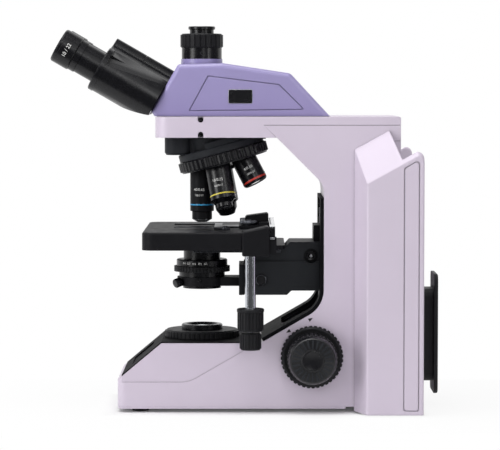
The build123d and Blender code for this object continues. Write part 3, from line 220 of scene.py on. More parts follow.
def makeLamps():
    for name, place, aim, across, along, watts in studio["lamps"]:
        data = bpy.data.lights.new(name, "AREA")
        data.shape = "RECTANGLE"
        data.size = across
        data.size_y = along
        data.energy = watts
        lamp = bpy.data.objects.new(name, data)
        lamp.location = place
        lamp.rotation_euler = aimed(place, aim, "-Z")
        lamp.visible_diffuse = name not in studio["highlightsOnly"]
        scene.collection.objects.link(lamp)


def makeCards():
    weave = studio["weave"]
    for name, place, aim, width, height, grey in studio["cards"]:
        bpy.ops.mesh.primitive_plane_add(size=1.0, location=place)
        card = bpy.context.object
        card.name = name
        card.rotation_euler = aimed(place, aim, "Z")
        card.scale = (width, height, 1.0)
        material = bpy.data.materials.new(name + "Cloth")
        tree = emptyTree(material)
        cloth = tree.nodes.new("ShaderNodeEmission")
        out = tree.nodes.new("ShaderNodeOutputMaterial")
        low, high = (grey * share for share in weave["spread"])
        level = rangeNode(tree, noiseNode(tree, weave["scale"], weave["detail"]), 0.0, 1.0, low, high)
        tree.links.new(level, cloth.inputs["Strength"])
        tree.links.new(cloth.outputs[0], out.inputs["Surface"])
        card.data.materials.append(material)
        card.visible_camera = False
        card.visible_diffuse = False
        card.visible_shadow = False
        card.visible_transmission = False
        card.visible_volume_scatter = False


makeCamera()
makeWorld()
makeFloor()
makeLamps()
makeCards()
print("camera and studio set")

# finishes

lilac = linear(203, 192, 208)
bandInk = {
    "tint": 0.08, "tintScale": 80, "rough": (0.30, 0.42), "roughScale": 160,
    "grainScale": 2000, "grainDepth": 0.01, "coat": 0.2,
}
printInk = {
    "tint": 0.08, "tintScale": 300, "rough": (0.42, 0.56), "roughScale": 160,
    "grainScale": 2000, "grainDepth": 0.01,
}
finishes = {
    "lilacPaint": {
        "colour": lilac, "tint": 0.05, "tintScale": 14, "rough": (0.36, 0.46), "roughScale": 60,
        "grainScale": 1500, "grainDepth": 0.012, "coat": 0.15,
        "edgeWidth": 1.0 * mm, "edgeWearAndHighlight": 1.08, "paintedCreviceShade": 0.35,
    },
    "lilacMoulding": {
        "colour": lilac, "tint": 0.04, "tintScale": 11, "rough": (0.40, 0.50), "roughScale": 70,
        "grainScale": 2100, "grainDepth": 0.018, "coat": 0.08,
        "edgeWidth": 1.6 * mm, "edgeWearAndHighlight": 1.08, "paintedCreviceShade": 0.35,
    },
    "purplePaint": {
        "colour": linear(147, 138, 184), "tint": 0.06, "tintScale": 16, "rough": (0.34, 0.44),
        "roughScale": 60, "grainScale": 1500, "grainDepth": 0.012, "coat": 0.18,
        "edgeWidth": 1.0 * mm, "edgeWearAndHighlight": 1.15, "paintedCreviceShade": 0.35,
    },
    "blackPaint": {
        "colour": linear(16, 16, 20), "tint": 0.12, "tintScale": 25, "rough": (0.46, 0.58),
        "roughScale": 90, "grainScale": 1900, "grainDepth": 0.03, "sheen": 0.16,
        "edgeWidth": 0.5 * mm, "edgeWearAndHighlight": 2.8, "paintedCreviceShade": 0.4,
    },
    "blackSatin": {
        "colour": linear(15, 15, 19), "tint": 0.12, "tintScale": 30, "rough": (0.22, 0.30),
        "roughScale": 80, "grainScale": 1700, "grainDepth": 0.015, "sheen": 0.36,
        "edgeWidth": 0.4 * mm, "edgeWearAndHighlight": 3.0, "paintedCreviceShade": 0.4,
    },
    "blackMoulding": {
        "colour": linear(18, 18, 22), "tint": 0.10, "tintScale": 20, "rough": (0.44, 0.56),
        "roughScale": 110, "grainScale": 2600, "grainDepth": 0.05, "sheen": 0.25,
        "edgeWidth": 0.4 * mm, "edgeWearAndHighlight": 2.4, "paintedCreviceShade": 0.4,
    },
    "blackFacing": {
        "colour": linear(18, 18, 22), "tint": 0.10, "tintScale": 20, "rough": (0.30, 0.40),
        "roughScale": 110, "grainScale": 2600, "grainDepth": 0.02, "sheen": 0.45,
        "edgeWidth": 0.4 * mm, "edgeWearAndHighlight": 2.6, "paintedCreviceShade": 0.4, "lathe": "X",
    },
    "blackMatt": {
        "colour": linear(14, 14, 17), "tint": 0.10, "tintScale": 20, "rough": (0.62, 0.74),
        "roughScale": 110, "grainScale": 2600, "grainDepth": 0.05, "sheen": 0.08,
        "edgeWidth": 0.5 * mm, "edgeWearAndHighlight": 3.4, "paintedCreviceShade": 0.4,
    },
    "blackRubber": {
        "colour": linear(26, 26, 28), "tint": 0.14, "tintScale": 45, "rough": (0.72, 0.88),
        "roughScale": 120, "grainScale": 1800, "grainDepth": 0.06, "sheen": 0.3,
        "edgeWidth": 0.5 * mm, "edgeWearAndHighlight": 1.5,
    },
    "charcoalPaint": {
        "colour": linear(37, 39, 43), "tint": 0.10, "tintScale": 25, "rough": (0.46, 0.58),
        "roughScale": 90, "grainScale": 1900, "grainDepth": 0.03, "sheen": 0.16,
        "edgeWidth": 0.5 * mm, "edgeWearAndHighlight": 1.8, "paintedCreviceShade": 0.4,
    },
    "polishedPost": {
        "colour": linear(196, 199, 206), "tint": 0.03, "tintScale": 30, "rough": (0.12, 0.16),
        "roughScale": 45, "grainScale": 500, "grainDepth": 0.001, "metal": 1.0,
        "edgeWidth": 0.3 * mm, "edgeWearAndHighlight": 1.05,
    },
    "chromePlate": {
        "colour": linear(176, 178, 184), "tint": 0.03, "tintScale": 30, "rough": (0.10, 0.17),
        "roughScale": 45, "grainScale": 700, "grainDepth": 0.004, "metal": 1.0,
        "edgeWidth": 0.3 * mm, "edgeWearAndHighlight": 1.05,
    },
    "darkChrome": {
        "colour": linear(96, 98, 104), "tint": 0.06, "tintScale": 30, "rough": (0.22, 0.32),
        "roughScale": 60, "grainScale": 900, "grainDepth": 0.01, "metal": 1.0,
        "edgeWidth": 0.3 * mm, "edgeWearAndHighlight": 1.1,
    },
    "darkSteel": {
        "colour": linear(74, 75, 80), "tint": 0.08, "tintScale": 60, "rough": (0.30, 0.42),
        "roughScale": 120, "grainScale": 900, "grainDepth": 0.02, "metal": 1.0,
        "edgeWidth": 0.3 * mm, "edgeWearAndHighlight": 1.5,
    },
    "groundSteel": {
        "colour": linear(186, 187, 192), "tint": 0.07, "tintScale": 60, "rough": (0.24, 0.38),
        "roughScale": 160, "grainScale": 900, "grainDepth": 0.02, "metal": 1.0,
        "edgeWidth": 0.3 * mm, "edgeWearAndHighlight": 1.1, "stretch": (1.0, 14.0, 14.0),
    },
    "turnedBrass": {
        "colour": linear(201, 168, 92), "tint": 0.08, "tintScale": 50, "rough": (0.22, 0.34),
        "roughScale": 140, "grainScale": 1100, "grainDepth": 0.02, "metal": 1.0,
        "edgeWidth": 0.3 * mm, "edgeWearAndHighlight": 1.1, "stretch": (12.0, 1.0, 1.0),
    },
    "rawAluminium": {
        "colour": linear(178, 179, 182), "tint": 0.07, "tintScale": 40, "rough": (0.34, 0.48),
        "roughScale": 120, "grainScale": 1000, "grainDepth": 0.03, "metal": 1.0,
        "edgeWidth": 0.4 * mm, "edgeWearAndHighlight": 1.1,
    },
    "silvering": {
        "colour": linear(232, 233, 235), "tint": 0.02, "tintScale": 20, "rough": (0.02, 0.05),
        "roughScale": 50, "grainScale": 500, "grainDepth": 0.002, "metal": 1.0,
    },
    "lensGlass": {
        "colour": linear(226, 236, 238), "tint": 0.03, "tintScale": 20, "rough": (0.01, 0.04),
        "roughScale": 60, "grainScale": 400, "grainDepth": 0.001, "glass": 1.0,
    },
    "blueBand": {**bandInk, "colour": linear(40, 150, 205)},
    "greenBand": {**bandInk, "colour": linear(60, 160, 70)},
    "yellowBand": {**bandInk, "colour": linear(222, 205, 70)},
    "redBand": {**bandInk, "colour": linear(190, 44, 30)},
    "whitePrint": {**printInk, "colour": linear(226, 226, 224), "tint": 0.06},
    "darkPrint": {**printInk, "colour": linear(24, 20, 28)},
    "greyPrint": {**printInk, "colour": linear(92, 86, 98)},
}
skinRules = {
    "cloudDetail": 5.0, "glossDetail": 4.0, "grainDetail": 2.0,
    "glossSpan": (0.3, 0.7),  # middle stretch of the noise that the roughness uses
    "grainHeight": 1.0 * mm,
    "edgeSamples": 4, "edgeWearAndHighlightMost": 0.8,
    "edgeSpan": (0.995, 0.86),  # how far the softened normal agrees with the face, from flat to edge
    "creviceSamples": 4, "creviceReach": 4.0 * mm, "creviceSpan": (0.25, 0.85),
    "latheStretch": 0.75, "coatRough": 0.25, "glassIndex": 1.52,
}
made = {}


def finish(name):
    # one node material per finish: uneven colour and gloss, grain in the bump, edges lightened as part wear
    # and part painted highlight, painted shade in crevices and seams
    if name in made:
        return made[name]
    look = finishes[name]
    material = bpy.data.materials.new(name)
    tree = emptyTree(material)
    add = tree.nodes.new
    join = tree.links.new
    out = add("ShaderNodeOutputMaterial")
    skin = add("ShaderNodeBsdfPrincipled")
    join(skin.outputs[0], out.inputs["Surface"])
    place = add("ShaderNodeTexCoord")
    mapping = add("ShaderNodeMapping")
    mapping.inputs["Scale"].default_value = look.get("stretch", (1.0, 1.0, 1.0))
    join(place.outputs["Object"], mapping.inputs["Vector"])
    spot = mapping.outputs[0]

    cloud = noiseNode(tree, look["tintScale"], skinRules["cloudDetail"], spot)
    deep = shade(look["colour"], 1 - look["tint"])
    pale = shade(look["colour"], 1 + look["tint"])
    colour = colourMix(tree, cloud, deep, pale)

    gloss = noiseNode(tree, look["roughScale"], skinRules["glossDetail"], spot)
    join(rangeNode(tree, gloss, *skinRules["glossSpan"], *look["rough"]), skin.inputs["Roughness"])

    grain = noiseNode(tree, look["grainScale"], skinRules["grainDetail"], spot)
    bump = add("ShaderNodeBump")
    bump.inputs["Strength"].default_value = look["grainDepth"]
    bump.inputs["Distance"].default_value = skinRules["grainHeight"]
    join(grain, bump.inputs["Height"])
    join(bump.outputs[0], skin.inputs["Normal"])
    # edges lightened in colour along the softened normal: partly edge wear, partly a painted highlight
    if "edgeWidth" in look:
        soften = add("ShaderNodeBevel")
        soften.samples = skinRules["edgeSamples"]
        soften.inputs["Radius"].default_value = look["edgeWidth"]
        join(soften.outputs[0], bump.inputs["Normal"])
        facing = add("ShaderNodeNewGeometry")
        turn = add("ShaderNodeVectorMath")
        turn.operation = "DOT_PRODUCT"
        join(soften.outputs[0], turn.inputs[0])
        join(facing.outputs["Normal"], turn.inputs[1])
        edge = rangeNode(tree, turn.outputs["Value"], *skinRules["edgeSpan"], 0.0, skinRules["edgeWearAndHighlightMost"])
        colour = colourMix(tree, edge, colour, shade(look["colour"], look["edgeWearAndHighlight"]))
    # painted shade: colour darkened where the occlusion probe finds crevices, seams and inside corners
    if "paintedCreviceShade" in look:
        hollow = add("ShaderNodeAmbientOcclusion")
        hollow.samples = skinRules["creviceSamples"]
        hollow.inputs["Distance"].default_value = skinRules["creviceReach"]
        depth = rangeNode(tree, hollow.outputs["AO"], *skinRules["creviceSpan"], look["paintedCreviceShade"], 1.0)
        colour = colourMix(tree, 1.0, colour, depth, "MULTIPLY")
    if "lathe" in look:
        sweep = add("ShaderNodeTangent")
        sweep.direction_type = "RADIAL"
        sweep.axis = look["lathe"]
        join(sweep.outputs[0], skin.inputs["Tangent"])
        skin.inputs["Anisotropic"].default_value = skinRules["latheStretch"]
    join(colour, skin.inputs["Base Color"])
    skin.inputs["Metallic"].default_value = look.get("metal", 0.0)
    skin.inputs["Specular IOR Level"].default_value = look.get("sheen", 0.5)
    skin.inputs["Coat Weight"].default_value = look.get("coat", 0.0)
    skin.inputs["Coat Roughness"].default_value = skinRules["coatRough"]
    if "glass" in look:
        skin.inputs["Transmission Weight"].default_value = look["glass"]
        skin.inputs["IOR"].default_value = skinRules["glassIndex"]
    made[name] = material
    return material


# which finish each piece of the frame has
wears = {
    "lilacPaint": ["stand_body", "arm_top"],
    "lilacMoulding": ["rear_wings", "back_panel"],
    "purplePaint": ["head_housing"],
    "blackPaint": [
        "condenser_holder", "focus_slide", "objective_20x", "stage_lower_plate", "stage_plate", "drive_box",
        "slide_carrier",
    ],
    "blackSatin": [
        "condenser_body", "nosepiece_mount", "nosepiece_turret", "objective_40x", "objective_10x",
        "objective_4x", "objective_100x", "photo_tube", "photo_insert", "tube_right", "tube_left",
        "eyepiece_right", "eyepiece_left", "diopter_right", "diopter_left", "field_lens_holder",
    ],
    "blackMoulding": [
        "cord_winder", "power_inlet", "power_switch", "brightness_dial", "field_iris_ring", "coarse_knobs",
        "tension_ring", "stage_y_knob", "stage_x_knob", "aperture_ring", "condenser_knob",
        "photo_clamp_ring", "beam_selector",
    ],
    "blackMatt": ["deck_cover", "column_liner"],
    "blackFacing": ["fine_knobs"],
    "blackRubber": ["feet"],
    "charcoalPaint": ["stage_carriage"],
    "polishedPost": ["drive_post"],
    "chromePlate": ["cross_guide"],
    "darkChrome": ["stage_rails"],
    "darkSteel": ["slide_holder", "slide_finger"],
    "groundSteel": ["hinge_shaft", "guide_rails", "base_plate", "coarse_shaft"],
    "turnedBrass": ["focus_bushes"],
    "rawAluminium": ["lamp_module"],
    "silvering": ["fold_mirror"],
    "lensGlass": ["base_lenses", "condenser_lens"],
}
for finishName, wearers in wears.items():
    for node in wearers:
        mesh = nodes[node].data
        mesh.materials.clear()
        mesh.materials.append(finish(finishName))
print("finishes on", sum(len(group) for group in wears.values()), "nodes")

# tools for the pieces; sizes are in mm, and a piece's dress holds its finish, a slot name and its body

sharpAngle = math.radians(35)  # edges that turn further than this stay sharp


def addPiece(name, mesh, dress):
    finishName, slotName, body = dress
    piece = bpy.data.objects.new(name, mesh)
    scene.collection.objects.link(piece)
    mesh.materials.append(finish(finishName))
    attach(piece, body)
    return piece


def inMetres(spot):
    return Vector(spot) * mm


def facingFrame(origin, axis, up=None):
    # local z along the axis, local y towards up
    way = Vector(axis).normalized()
    if up is None:
        turn = way.to_track_quat("Z", "Y").to_matrix().to_4x4()
    else:
        across = Vector(up).cross(way).normalized()
        above = way.cross(across)
        turn = Matrix((across, above, way)).transposed().to_4x4()
    return Matrix.Translation(inMetres(origin)) @ turn


def sideFace(spot, sign=1):
    # upright on the right side, or on the left one
    return facingFrame(spot, (sign, 0, 0), (0, 0, 1))


def placed(bm, place):
    bm.transform(place)
    return bm


def solidPiece(name, bm, dress):
    # a piece from a solid, smooth apart from its sharp edges
    bmesh.ops.recalc_face_normals(bm, faces=bm.faces)
    mesh = bpy.data.meshes.new(name)
    bm.to_mesh(mesh)
    bm.free()
    for face in mesh.polygons:
        face.use_smooth = True
    mesh.set_sharp_from_angle(angle=sharpAngle)
    return addPiece(name, mesh, dress)


def turnedRing(bm, radius, height, word, sides, teeth, bite):
    ring = []
    for step in range(sides):
        turn = 2 * math.pi * step / sides
        reach = radius
        if word == "hex":
            sector = math.pi / 3
            reach = radius * math.cos(sector / 2) / math.cos(turn % sector - sector / 2)
        if word == "grip":
            reach = radius - bite * (0.5 - 0.5 * math.cos(turn * teeth))
        ring.append(bm.verts.new((reach * math.cos(turn) * mm, reach * math.sin(turn) * mm, height * mm)))
    return ring


def turnedSolid(profile, sides=48, teeth=0, bite=0.0):
    # a turned solid; profile points are (radius, height), with "hex" or "grip" as a third word
    bm = bmesh.new()
    rings = []
    for radius, height, *word in profile:
        if radius == 0:
            rings.append([bm.verts.new((0, 0, height * mm))])
        else:
            rings.append(turnedRing(bm, radius, height, "".join(word), sides, teeth, bite))
    for lower, upper in zip(rings, rings[1:]):
        for step in range(sides):
            ahead = (step + 1) % sides
            if len(lower) == 1:
                bm.faces.new((lower[0], upper[ahead], upper[step]))
            elif len(upper) == 1:
                bm.faces.new((lower[step], lower[ahead], upper[0]))
            else:
                bm.faces.new((lower[step], lower[ahead], upper[ahead], upper[step]))
    if len(rings[0]) > 1 and len(rings[-1]) > 1:
        for step in range(sides):
            ahead = (step + 1) % sides
            bm.faces.new((rings[-1][step], rings[-1][ahead], rings[0][ahead], rings[0][step]))
    bmesh.ops.recalc_face_normals(bm, faces=bm.faces)
    return bm


def spun(name, profile, origin, axis, dress, sides=48, teeth=0, bite=0.0):
    bm = turnedSolid(profile, sides, teeth, bite)
    return solidPiece(name, placed(bm, facingFrame(origin, axis)), dress)


def joinSolids(parts):
    # several solids in one mesh
    whole = bmesh.new()
    for part in parts:
        holder = bpy.data.meshes.new("joined")
        part.to_mesh(holder)
        part.free()
        whole.from_mesh(holder)
        bpy.data.meshes.remove(holder)
    return whole


def trim(bm, spot, way):
    # cuts off what lies beyond a plane and closes the cut
    cut = bmesh.ops.bisect_plane(
        bm, geom=bm.verts[:] + bm.edges[:] + bm.faces[:], dist=1e-7,
        plane_co=inMetres(spot), plane_no=Vector(way), clear_outer=True,
    )
    rim = [item for item in cut["geom_cut"] if isinstance(item, bmesh.types.BMEdge) and item.is_boundary]
    if rim:
        bmesh.ops.holes_fill(bm, edges=rim, sides=0)
    return bm


# key, depth and floor are shares of the screw's radius and height
socket = {"key": 0.52, "edge": 0.4, "lead": 0.25, "depth": 0.45, "floor": 0.4}


def socketScrew(name, radius, height, origin, axis, dress):
    key = radius * socket["key"]
    profile = [
        (0, 0), (radius, 0), (radius, height - socket["edge"]), (radius - socket["edge"], height),
        (key + socket["lead"], height), (key, height - socket["lead"], "hex"),
        (key, height * socket["depth"], "hex"), (0, height * socket["floor"]),
    ]
    return spun(name, profile, origin, axis, dress)


def roundedBox(width, height, radius, steps=6):
    # the outline of a rectangle with round corners
    outline = []
    for corner, (right, top) in enumerate(((1, 1), (-1, 1), (-1, -1), (1, -1))):
        for step in range(steps + 1):
            turn = math.pi / 2 * (corner + step / steps)
            outline.append((
                right * (width / 2 - radius) + radius * math.cos(turn),
                top * (height / 2 - radius) + radius * math.sin(turn),
            ))
    return outline


bevelLimits = {"least": 0.2, "tiny": 0.01}  # share of an outline that a bevel leaves, shortest reach


def prism(outline, thickness, bevel, place):
    # a plate or block with a bevelled far edge, from an outline on a facing frame
    bm = bmesh.new()
    middle = Vector((sum(spot[0] for spot in outline), sum(spot[1] for spot in outline))) / len(outline)
    rings = []
    for inset, height in ((0.0, 0.0), (0.0, thickness - bevel), (bevel, thickness)):
        ring = []
        for spot in outline:
            away = Vector(spot) - middle
            share = 1 - inset / max(away.length, bevelLimits["tiny"])
            kept = middle + away * max(bevelLimits["least"], share)
            ring.append(bm.verts.new((kept.x * mm, kept.y * mm, height * mm)))
        rings.append(ring)
    count = len(outline)
    for lower, upper in zip(rings, rings[1:]):
        for step in range(count):
            ahead = (step + 1) % count
            bm.faces.new((lower[step], lower[ahead], upper[ahead], upper[step]))
    bm.faces.new(rings[-1])
    bm.faces.new(list(reversed(rings[0])))
    bmesh.ops.recalc_face_normals(bm, faces=bm.faces)
    return placed(bm, place)


def flatPiece(name, outlines, thickness, bevel, place, dress):
    parts = [prism(outline, thickness, bevel, place) for outline in outlines]
    return solidPiece(name, joinSolids(parts), dress)


def sidePlates(plates):
    # plates on the right side: width, height and corner, thickness, bevel, place, dress
    for name, (size, thickness, bevel, spot, dress) in plates.items():
        flatPiece(name, [roundedBox(*size)], thickness, bevel, sideFace(spot), dress)


def letterMesh(text, size):
    # plain lettering as a flat mesh, middle at the origin
    data = bpy.data.curves.new("lettering", "FONT")
    data.body = text
    data.size = size
    data.align_x = "CENTER"
    data.align_y = "CENTER"
    holder = bpy.data.objects.new("lettering", data)
    scene.collection.objects.link(holder)
    bpy.context.view_layer.update()
    mesh = bpy.data.meshes.new_from_object(holder.evaluated_get(bpy.context.evaluated_depsgraph_get()))
    bpy.data.objects.remove(holder)
    bpy.data.curves.remove(data)
    return mesh


printing = {"proud": 0.06, "longest": 0.5}  # height above the piece, and the longest edge that isn't halved


def roundPrint(name, lines, centre, up, towards, radius, dress):
    # numbers printed round a turned piece: lines are (text, letter height, distance up)
    up = Vector(up).normalized()
    face = Vector(towards)
    face = (face - up * face.dot(up)).normalized()
    side = up.cross(face)
    bm = bmesh.new()
    for text, size, rise in lines:
        part = bmesh.new()
        part.from_mesh(letterMesh(text, size))
        bmesh.ops.triangulate(part, faces=part.faces)
        longEdges = [edge for edge in part.edges if edge.calc_length() > printing["longest"]]
        bmesh.ops.subdivide_edges(part, edges=longEdges, cuts=1)
        spots = {}
        for vertex in part.verts:
            turn = vertex.co.x / radius
            out = (face * math.cos(turn) + side * math.sin(turn)) * (radius + printing["proud"])
            spots[vertex] = bm.verts.new((Vector(centre) + up * (vertex.co.y + rise) + out) * mm)
        for triangle in part.faces:
            bm.faces.new([spots[vertex] for vertex in triangle.verts])
        part.free()
    mesh = bpy.data.meshes.new(name)
    bm.to_mesh(mesh)
    bm.free()
    return addPiece(name, mesh, dress)


# objectives, turret rim and nosepiece mount: truer outlines in place of the frame's plainer solids
turret = {"tilt": math.radians(15.2), "centre": (0, -22.2, 260.2), "circle": 23.5, "places": 5}
turretAxis = Vector((0, math.sin(turret["tilt"]), -math.cos(turret["tilt"])))
turretFront = Vector((0, -math.cos(turret["tilt"]), -math.sin(turret["tilt"])))
turretCentre = Vector(turret["centre"])
turretFrame = facingFrame(turretCentre, turretAxis)
objectives = {
    # place on the turret; barrel as (radius, distance along); band's start, width, radius and finish;
    # tip's radius and end; numbers, their distance up and the side that they face
    "objective_20x": {
        "place": 0, "band": (41.6, 1.5, 12.45, "blueBand"), "tip": (5.6, 60.3),
        "text": "40/0.65", "rise": -26.5, "towards": (1, -0.25, 0),
    },
    "objective_10x": {
        "place": 1, "barrel": [(13.2, 42), (11.0, 43.2), (8.3, 46.2), (8.3, 50), (7.6, 50.5)],
        "band": (36.8, 1.3, 13.2, "yellowBand"), "tip": (7.6, 50.4),
        "text": "10/0.25", "rise": -23.0, "towards": (1, -0.2, 0),
    },
    "objective_4x": {
        "place": 2, "barrel": [(13.0, 33), (12.0, 34.2)],
        "band": (30.2, 2.0, 13.0, "redBand"), "tip": (12.0, 34.2),
        "text": "4/0.10", "rise": -18.0, "towards": (1, 0, 0),
    },
    "objective_40x": {
        "place": 3, "barrel": [(12.8, 32), (11.6, 33.2)],
        "band": (28.6, 1.5, 12.8, "greenBand"), "tip": (11.6, 33.2),
        "text": "20/0.40", "rise": -17.0, "towards": (-1, 0.2, 0),
    },
    "objective_100x": {
        "place": 4, "barrel": [(14.2, 47), (11.8, 48.6), (11.4, 55), (9.0, 59.4), (8.6, 60.8)],
        "band": (39.0, 1.5, 14.2, "whitePrint"), "tip": (8.6, 60.8),
        "text": "100/1.25", "rise": -24.0, "towards": (-1, -0.2, 0),
    },
}
barrelSeat = {
    "thread": 10.1, "shoulder": 6.1, "edge": 0.4, "sides": 96,
    "tip": [(0.55, 0.0), (0.4, -0.8), (0, -0.6)],  # dished front: share of the tip's radius, depth
    "dress": ("blackSatin", "black_metal", "nosepiece"),
}


def objectiveLine(place):
    turn = 2 * math.pi * place / turret["places"]
    out = turretFront * math.cos(turn) + Vector((1, 0, 0)) * math.sin(turn)
    along = turretAxis * math.cos(turret["tilt"]) + out * math.sin(turret["tilt"])
    return turretCentre + out * turret["circle"], along


for node, look in objectives.items():
    if "barrel" not in look:
        continue
    foot, along = objectiveLine(look["place"])
    widest = look["barrel"][0][0]
    tipRadius, tipEnd = look["barrel"][-1]
    thread, shoulder, edge = barrelSeat["thread"], barrelSeat["shoulder"], barrelSeat["edge"]
    profile = [
        (0, 0), (thread, 0), (thread, shoulder), (widest - edge, shoulder), (widest, shoulder + edge),
        *look["barrel"], *((share * tipRadius, tipEnd + rise) for share, rise in barrelSeat["tip"]),
    ]
    barrel = spun(node + "Barrel", profile, foot, along, barrelSeat["dress"], sides=barrelSeat["sides"])
    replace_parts(barrel, node)

turretGrip = {
    "profile": [
        (43.9, -7.0), (45.6, -7.0), (46.1, -6.4), (47.7, -6.0, "grip"), (47.7, 3.2, "grip"), (46.1, 3.7),
        (45.6, 5.0), (43.9, 5.0),
    ],
    "teeth": {"sides": 600, "teeth": 50, "bite": 1.1},
    "dress": ("blackSatin", "black_metal", "nosepiece"),
}
spun(
    "turretGrip", turretGrip["profile"], turretCentre, turretAxis, turretGrip["dress"], **turretGrip["teeth"],
)

noseMount = {
    "top": 283.0,  # the underside of the arm
    "boxes": [
        # width, length, corner radius, middle, depth, bevel: block, neck and plate
        (52.0, 28.5, 11.5, -69.25, 19.0, 2.5),
        (42.0, 20.0, 2.0, -48.0, 19.0, 0.5),
        (56.0, 102.7, 9.0, -29.25, 2.0, 0.3),
    ],
    "drum": [
        (0, -7.3), (45.2, -7.3), (45.2, -13.7), (44.8, -14.4), (44.2, -14.7), (34, -14.7), (34, -45),
        (0, -45),
    ],
    "hood": [(0, -13.6), (43.7, -13.6), (43.7, -20.2), (43.2, -20.7), (0, -20.7)],
    "hoodFront": 15.0,
    "spindle": [(0, 13), (8, 13), (8, -7.4), (0, -7.4)],
    "dress": ("charcoalPaint", "black_metal", "stand"),
}


def noseParts():
    underArm = (0, 0, noseMount["top"])
    parts = []
    for width, length, radius, middle, depth, bevel in noseMount["boxes"]:
        place = facingFrame((0, middle, noseMount["top"]), (0, 0, -1), (0, 1, 0))
        parts.append(prism(roundedBox(width, length, radius), depth, bevel, place))
    drum = placed(turnedSolid(noseMount["drum"], sides=128), turretFrame)
    parts.append(trim(drum, underArm, (0, 0, 1)))
    hood = placed(turnedSolid(noseMount["hood"], sides=128), turretFrame)
    trim(hood, turretCentre + turretFront * noseMount["hoodFront"], turretFront)
    parts.append(trim(hood, underArm, (0, 0, 1)))
    parts.append(placed(turnedSolid(noseMount["spindle"]), turretFrame))
    return parts


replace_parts(solidPiece("noseMount", joinSolids(noseParts()), noseMount["dress"]), "nosepiece_mount")

# the slide holder's carrier: a bar with a flange behind, and a wedge on it
slideCarrier = {
    "barHalf": 30.0, "wedgeHalf": 11.0, "edge": 0.3,
    "bar": [
        (-6.0, 188.1), (25.1, 188.1), (25.1, 194.4), (15.8, 194.5), (15.0, 193.7), (15.0, 191.0),
        (-5.3, 191.0), (-6.0, 190.3),
    ],
    "wedge": [(0.4, 188.1), (24.8, 188.1), (24.8, 201.6), (23.2, 203.0), (1.9, 200.1), (0.4, 198.5)],
    "dress": ("blackPaint", "black_metal", "holder"),
}
carrierParts = []
for word in ("bar", "wedge"):
    half = slideCarrier[word + "Half"]
    carrierParts.append(prism(slideCarrier[word], 2 * half, slideCarrier["edge"], sideFace((-half, 0, 0))))
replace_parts(solidPiece("slideCarrier", joinSolids(carrierParts), slideCarrier["dress"]), "slide_carrier")

# binocular housings: round barrel with a flat shoulder and a curved belly, web and knuckle
tubeForm = {
    "tilt": math.radians(30), "pivot": (0, -77.05, 343.55), "half": 29.0, "drop": 27.2,
    "barrel": 23.8, "foot": 0.4, "collar": 64.0, "end": 69.6,
    "sleeve": [
        (0, 63.9), (24.4, 63.9), (24.4, 68.6), (23.4, 69.6), (16.45, 69.6), (16.45, 90.4), (15.85, 90.4),
        (15.85, 97.2), (0, 97.2),
    ],
    "bellyRadius": 130.0, "bellyEnd": 46.0, "bellyDepth": 24.8, "bellySteps": 9,
    "facetTurn": math.radians(62), "facetNear": 23.4, "facetFar": 17.0,
    "knuckle": 8.4, "knuckleEdge": 0.4, "split": 33.7, "gap": 0.3,
    "webFar": [(35.55, -9.57), (29.0, -27.2), (5.56, -31.36)], "webTop": (1.18, 3.19),
    "webTurns": (-80, -60, -40, -20, 2), "webClear": 8.9, "webEdge": 0.05,
}
tubeWay = Vector((0, -math.cos(tubeForm["tilt"]), math.sin(tubeForm["tilt"])))
tubeUp = Vector((0, math.sin(tubeForm["tilt"]), math.cos(tubeForm["tilt"])))
tubePivot = Vector(tubeForm["pivot"])
tubeTurn = Matrix(((1, 0, 0), tubeUp, tubeWay)).transposed().to_4x4()
tubeFrame = Matrix.Translation(inMetres(tubePivot)) @ tubeTurn


def tubeBarrel(sign):
    radius, foot, collar = tubeForm["barrel"], tubeForm["foot"], tubeForm["collar"]
    barrel = turnedSolid([(0, foot), (radius, foot), (radius, collar), (0, collar)], sides=160)
    bend = math.asin(tubeForm["bellyEnd"] / tubeForm["bellyRadius"])
    for step in range(tubeForm["bellySteps"]):
        lean = bend * (step + 0.5) / tubeForm["bellySteps"]
        rise = tubeForm["bellyRadius"] * (1 - math.cos(lean)) - tubeForm["bellyDepth"]
        along = tubeForm["bellyEnd"] - tubeForm["bellyRadius"] * math.sin(lean)
        trim(barrel, (0, rise, along), (0, -math.cos(lean), -math.sin(lean)))
    out = Vector((sign * math.cos(tubeForm["facetTurn"]), math.sin(tubeForm["facetTurn"]), 0))
    sink = (tubeForm["facetNear"] - tubeForm["facetFar"]) / collar
    return trim(barrel, out * tubeForm["facetNear"], (out + Vector((0, 0, sink))).normalized())


def tubeWebs(sign, own, other):
    # the web runs into its own knuckle and stays clear of the other one
    clear = tubeForm["webClear"]
    turns = [math.radians(turn) for turn in tubeForm["webTurns"]]
    hollow = [(clear * math.cos(turn), clear * math.sin(turn)) for turn in turns]
    webs = []
    for (start, stop), inner in ((own, [(0.0, 0.0), tubeForm["webTop"]]), (other, hollow)):
        outline = [(sign * across, rise) for across, rise in inner + tubeForm["webFar"]]
        place = Matrix.Translation(inMetres((0, 0, start)))
        webs.append(prism(outline, stop - start, tubeForm["webEdge"], place))
    return webs


def tubeKnuckle(low, high):
    radius, edge = tubeForm["knuckle"], tubeForm["knuckleEdge"]
    return turnedSolid([
        (0, low), (radius - edge, low), (radius, low + edge), (radius, high - edge), (radius - edge, high),
        (0, high),
    ], sides=72)


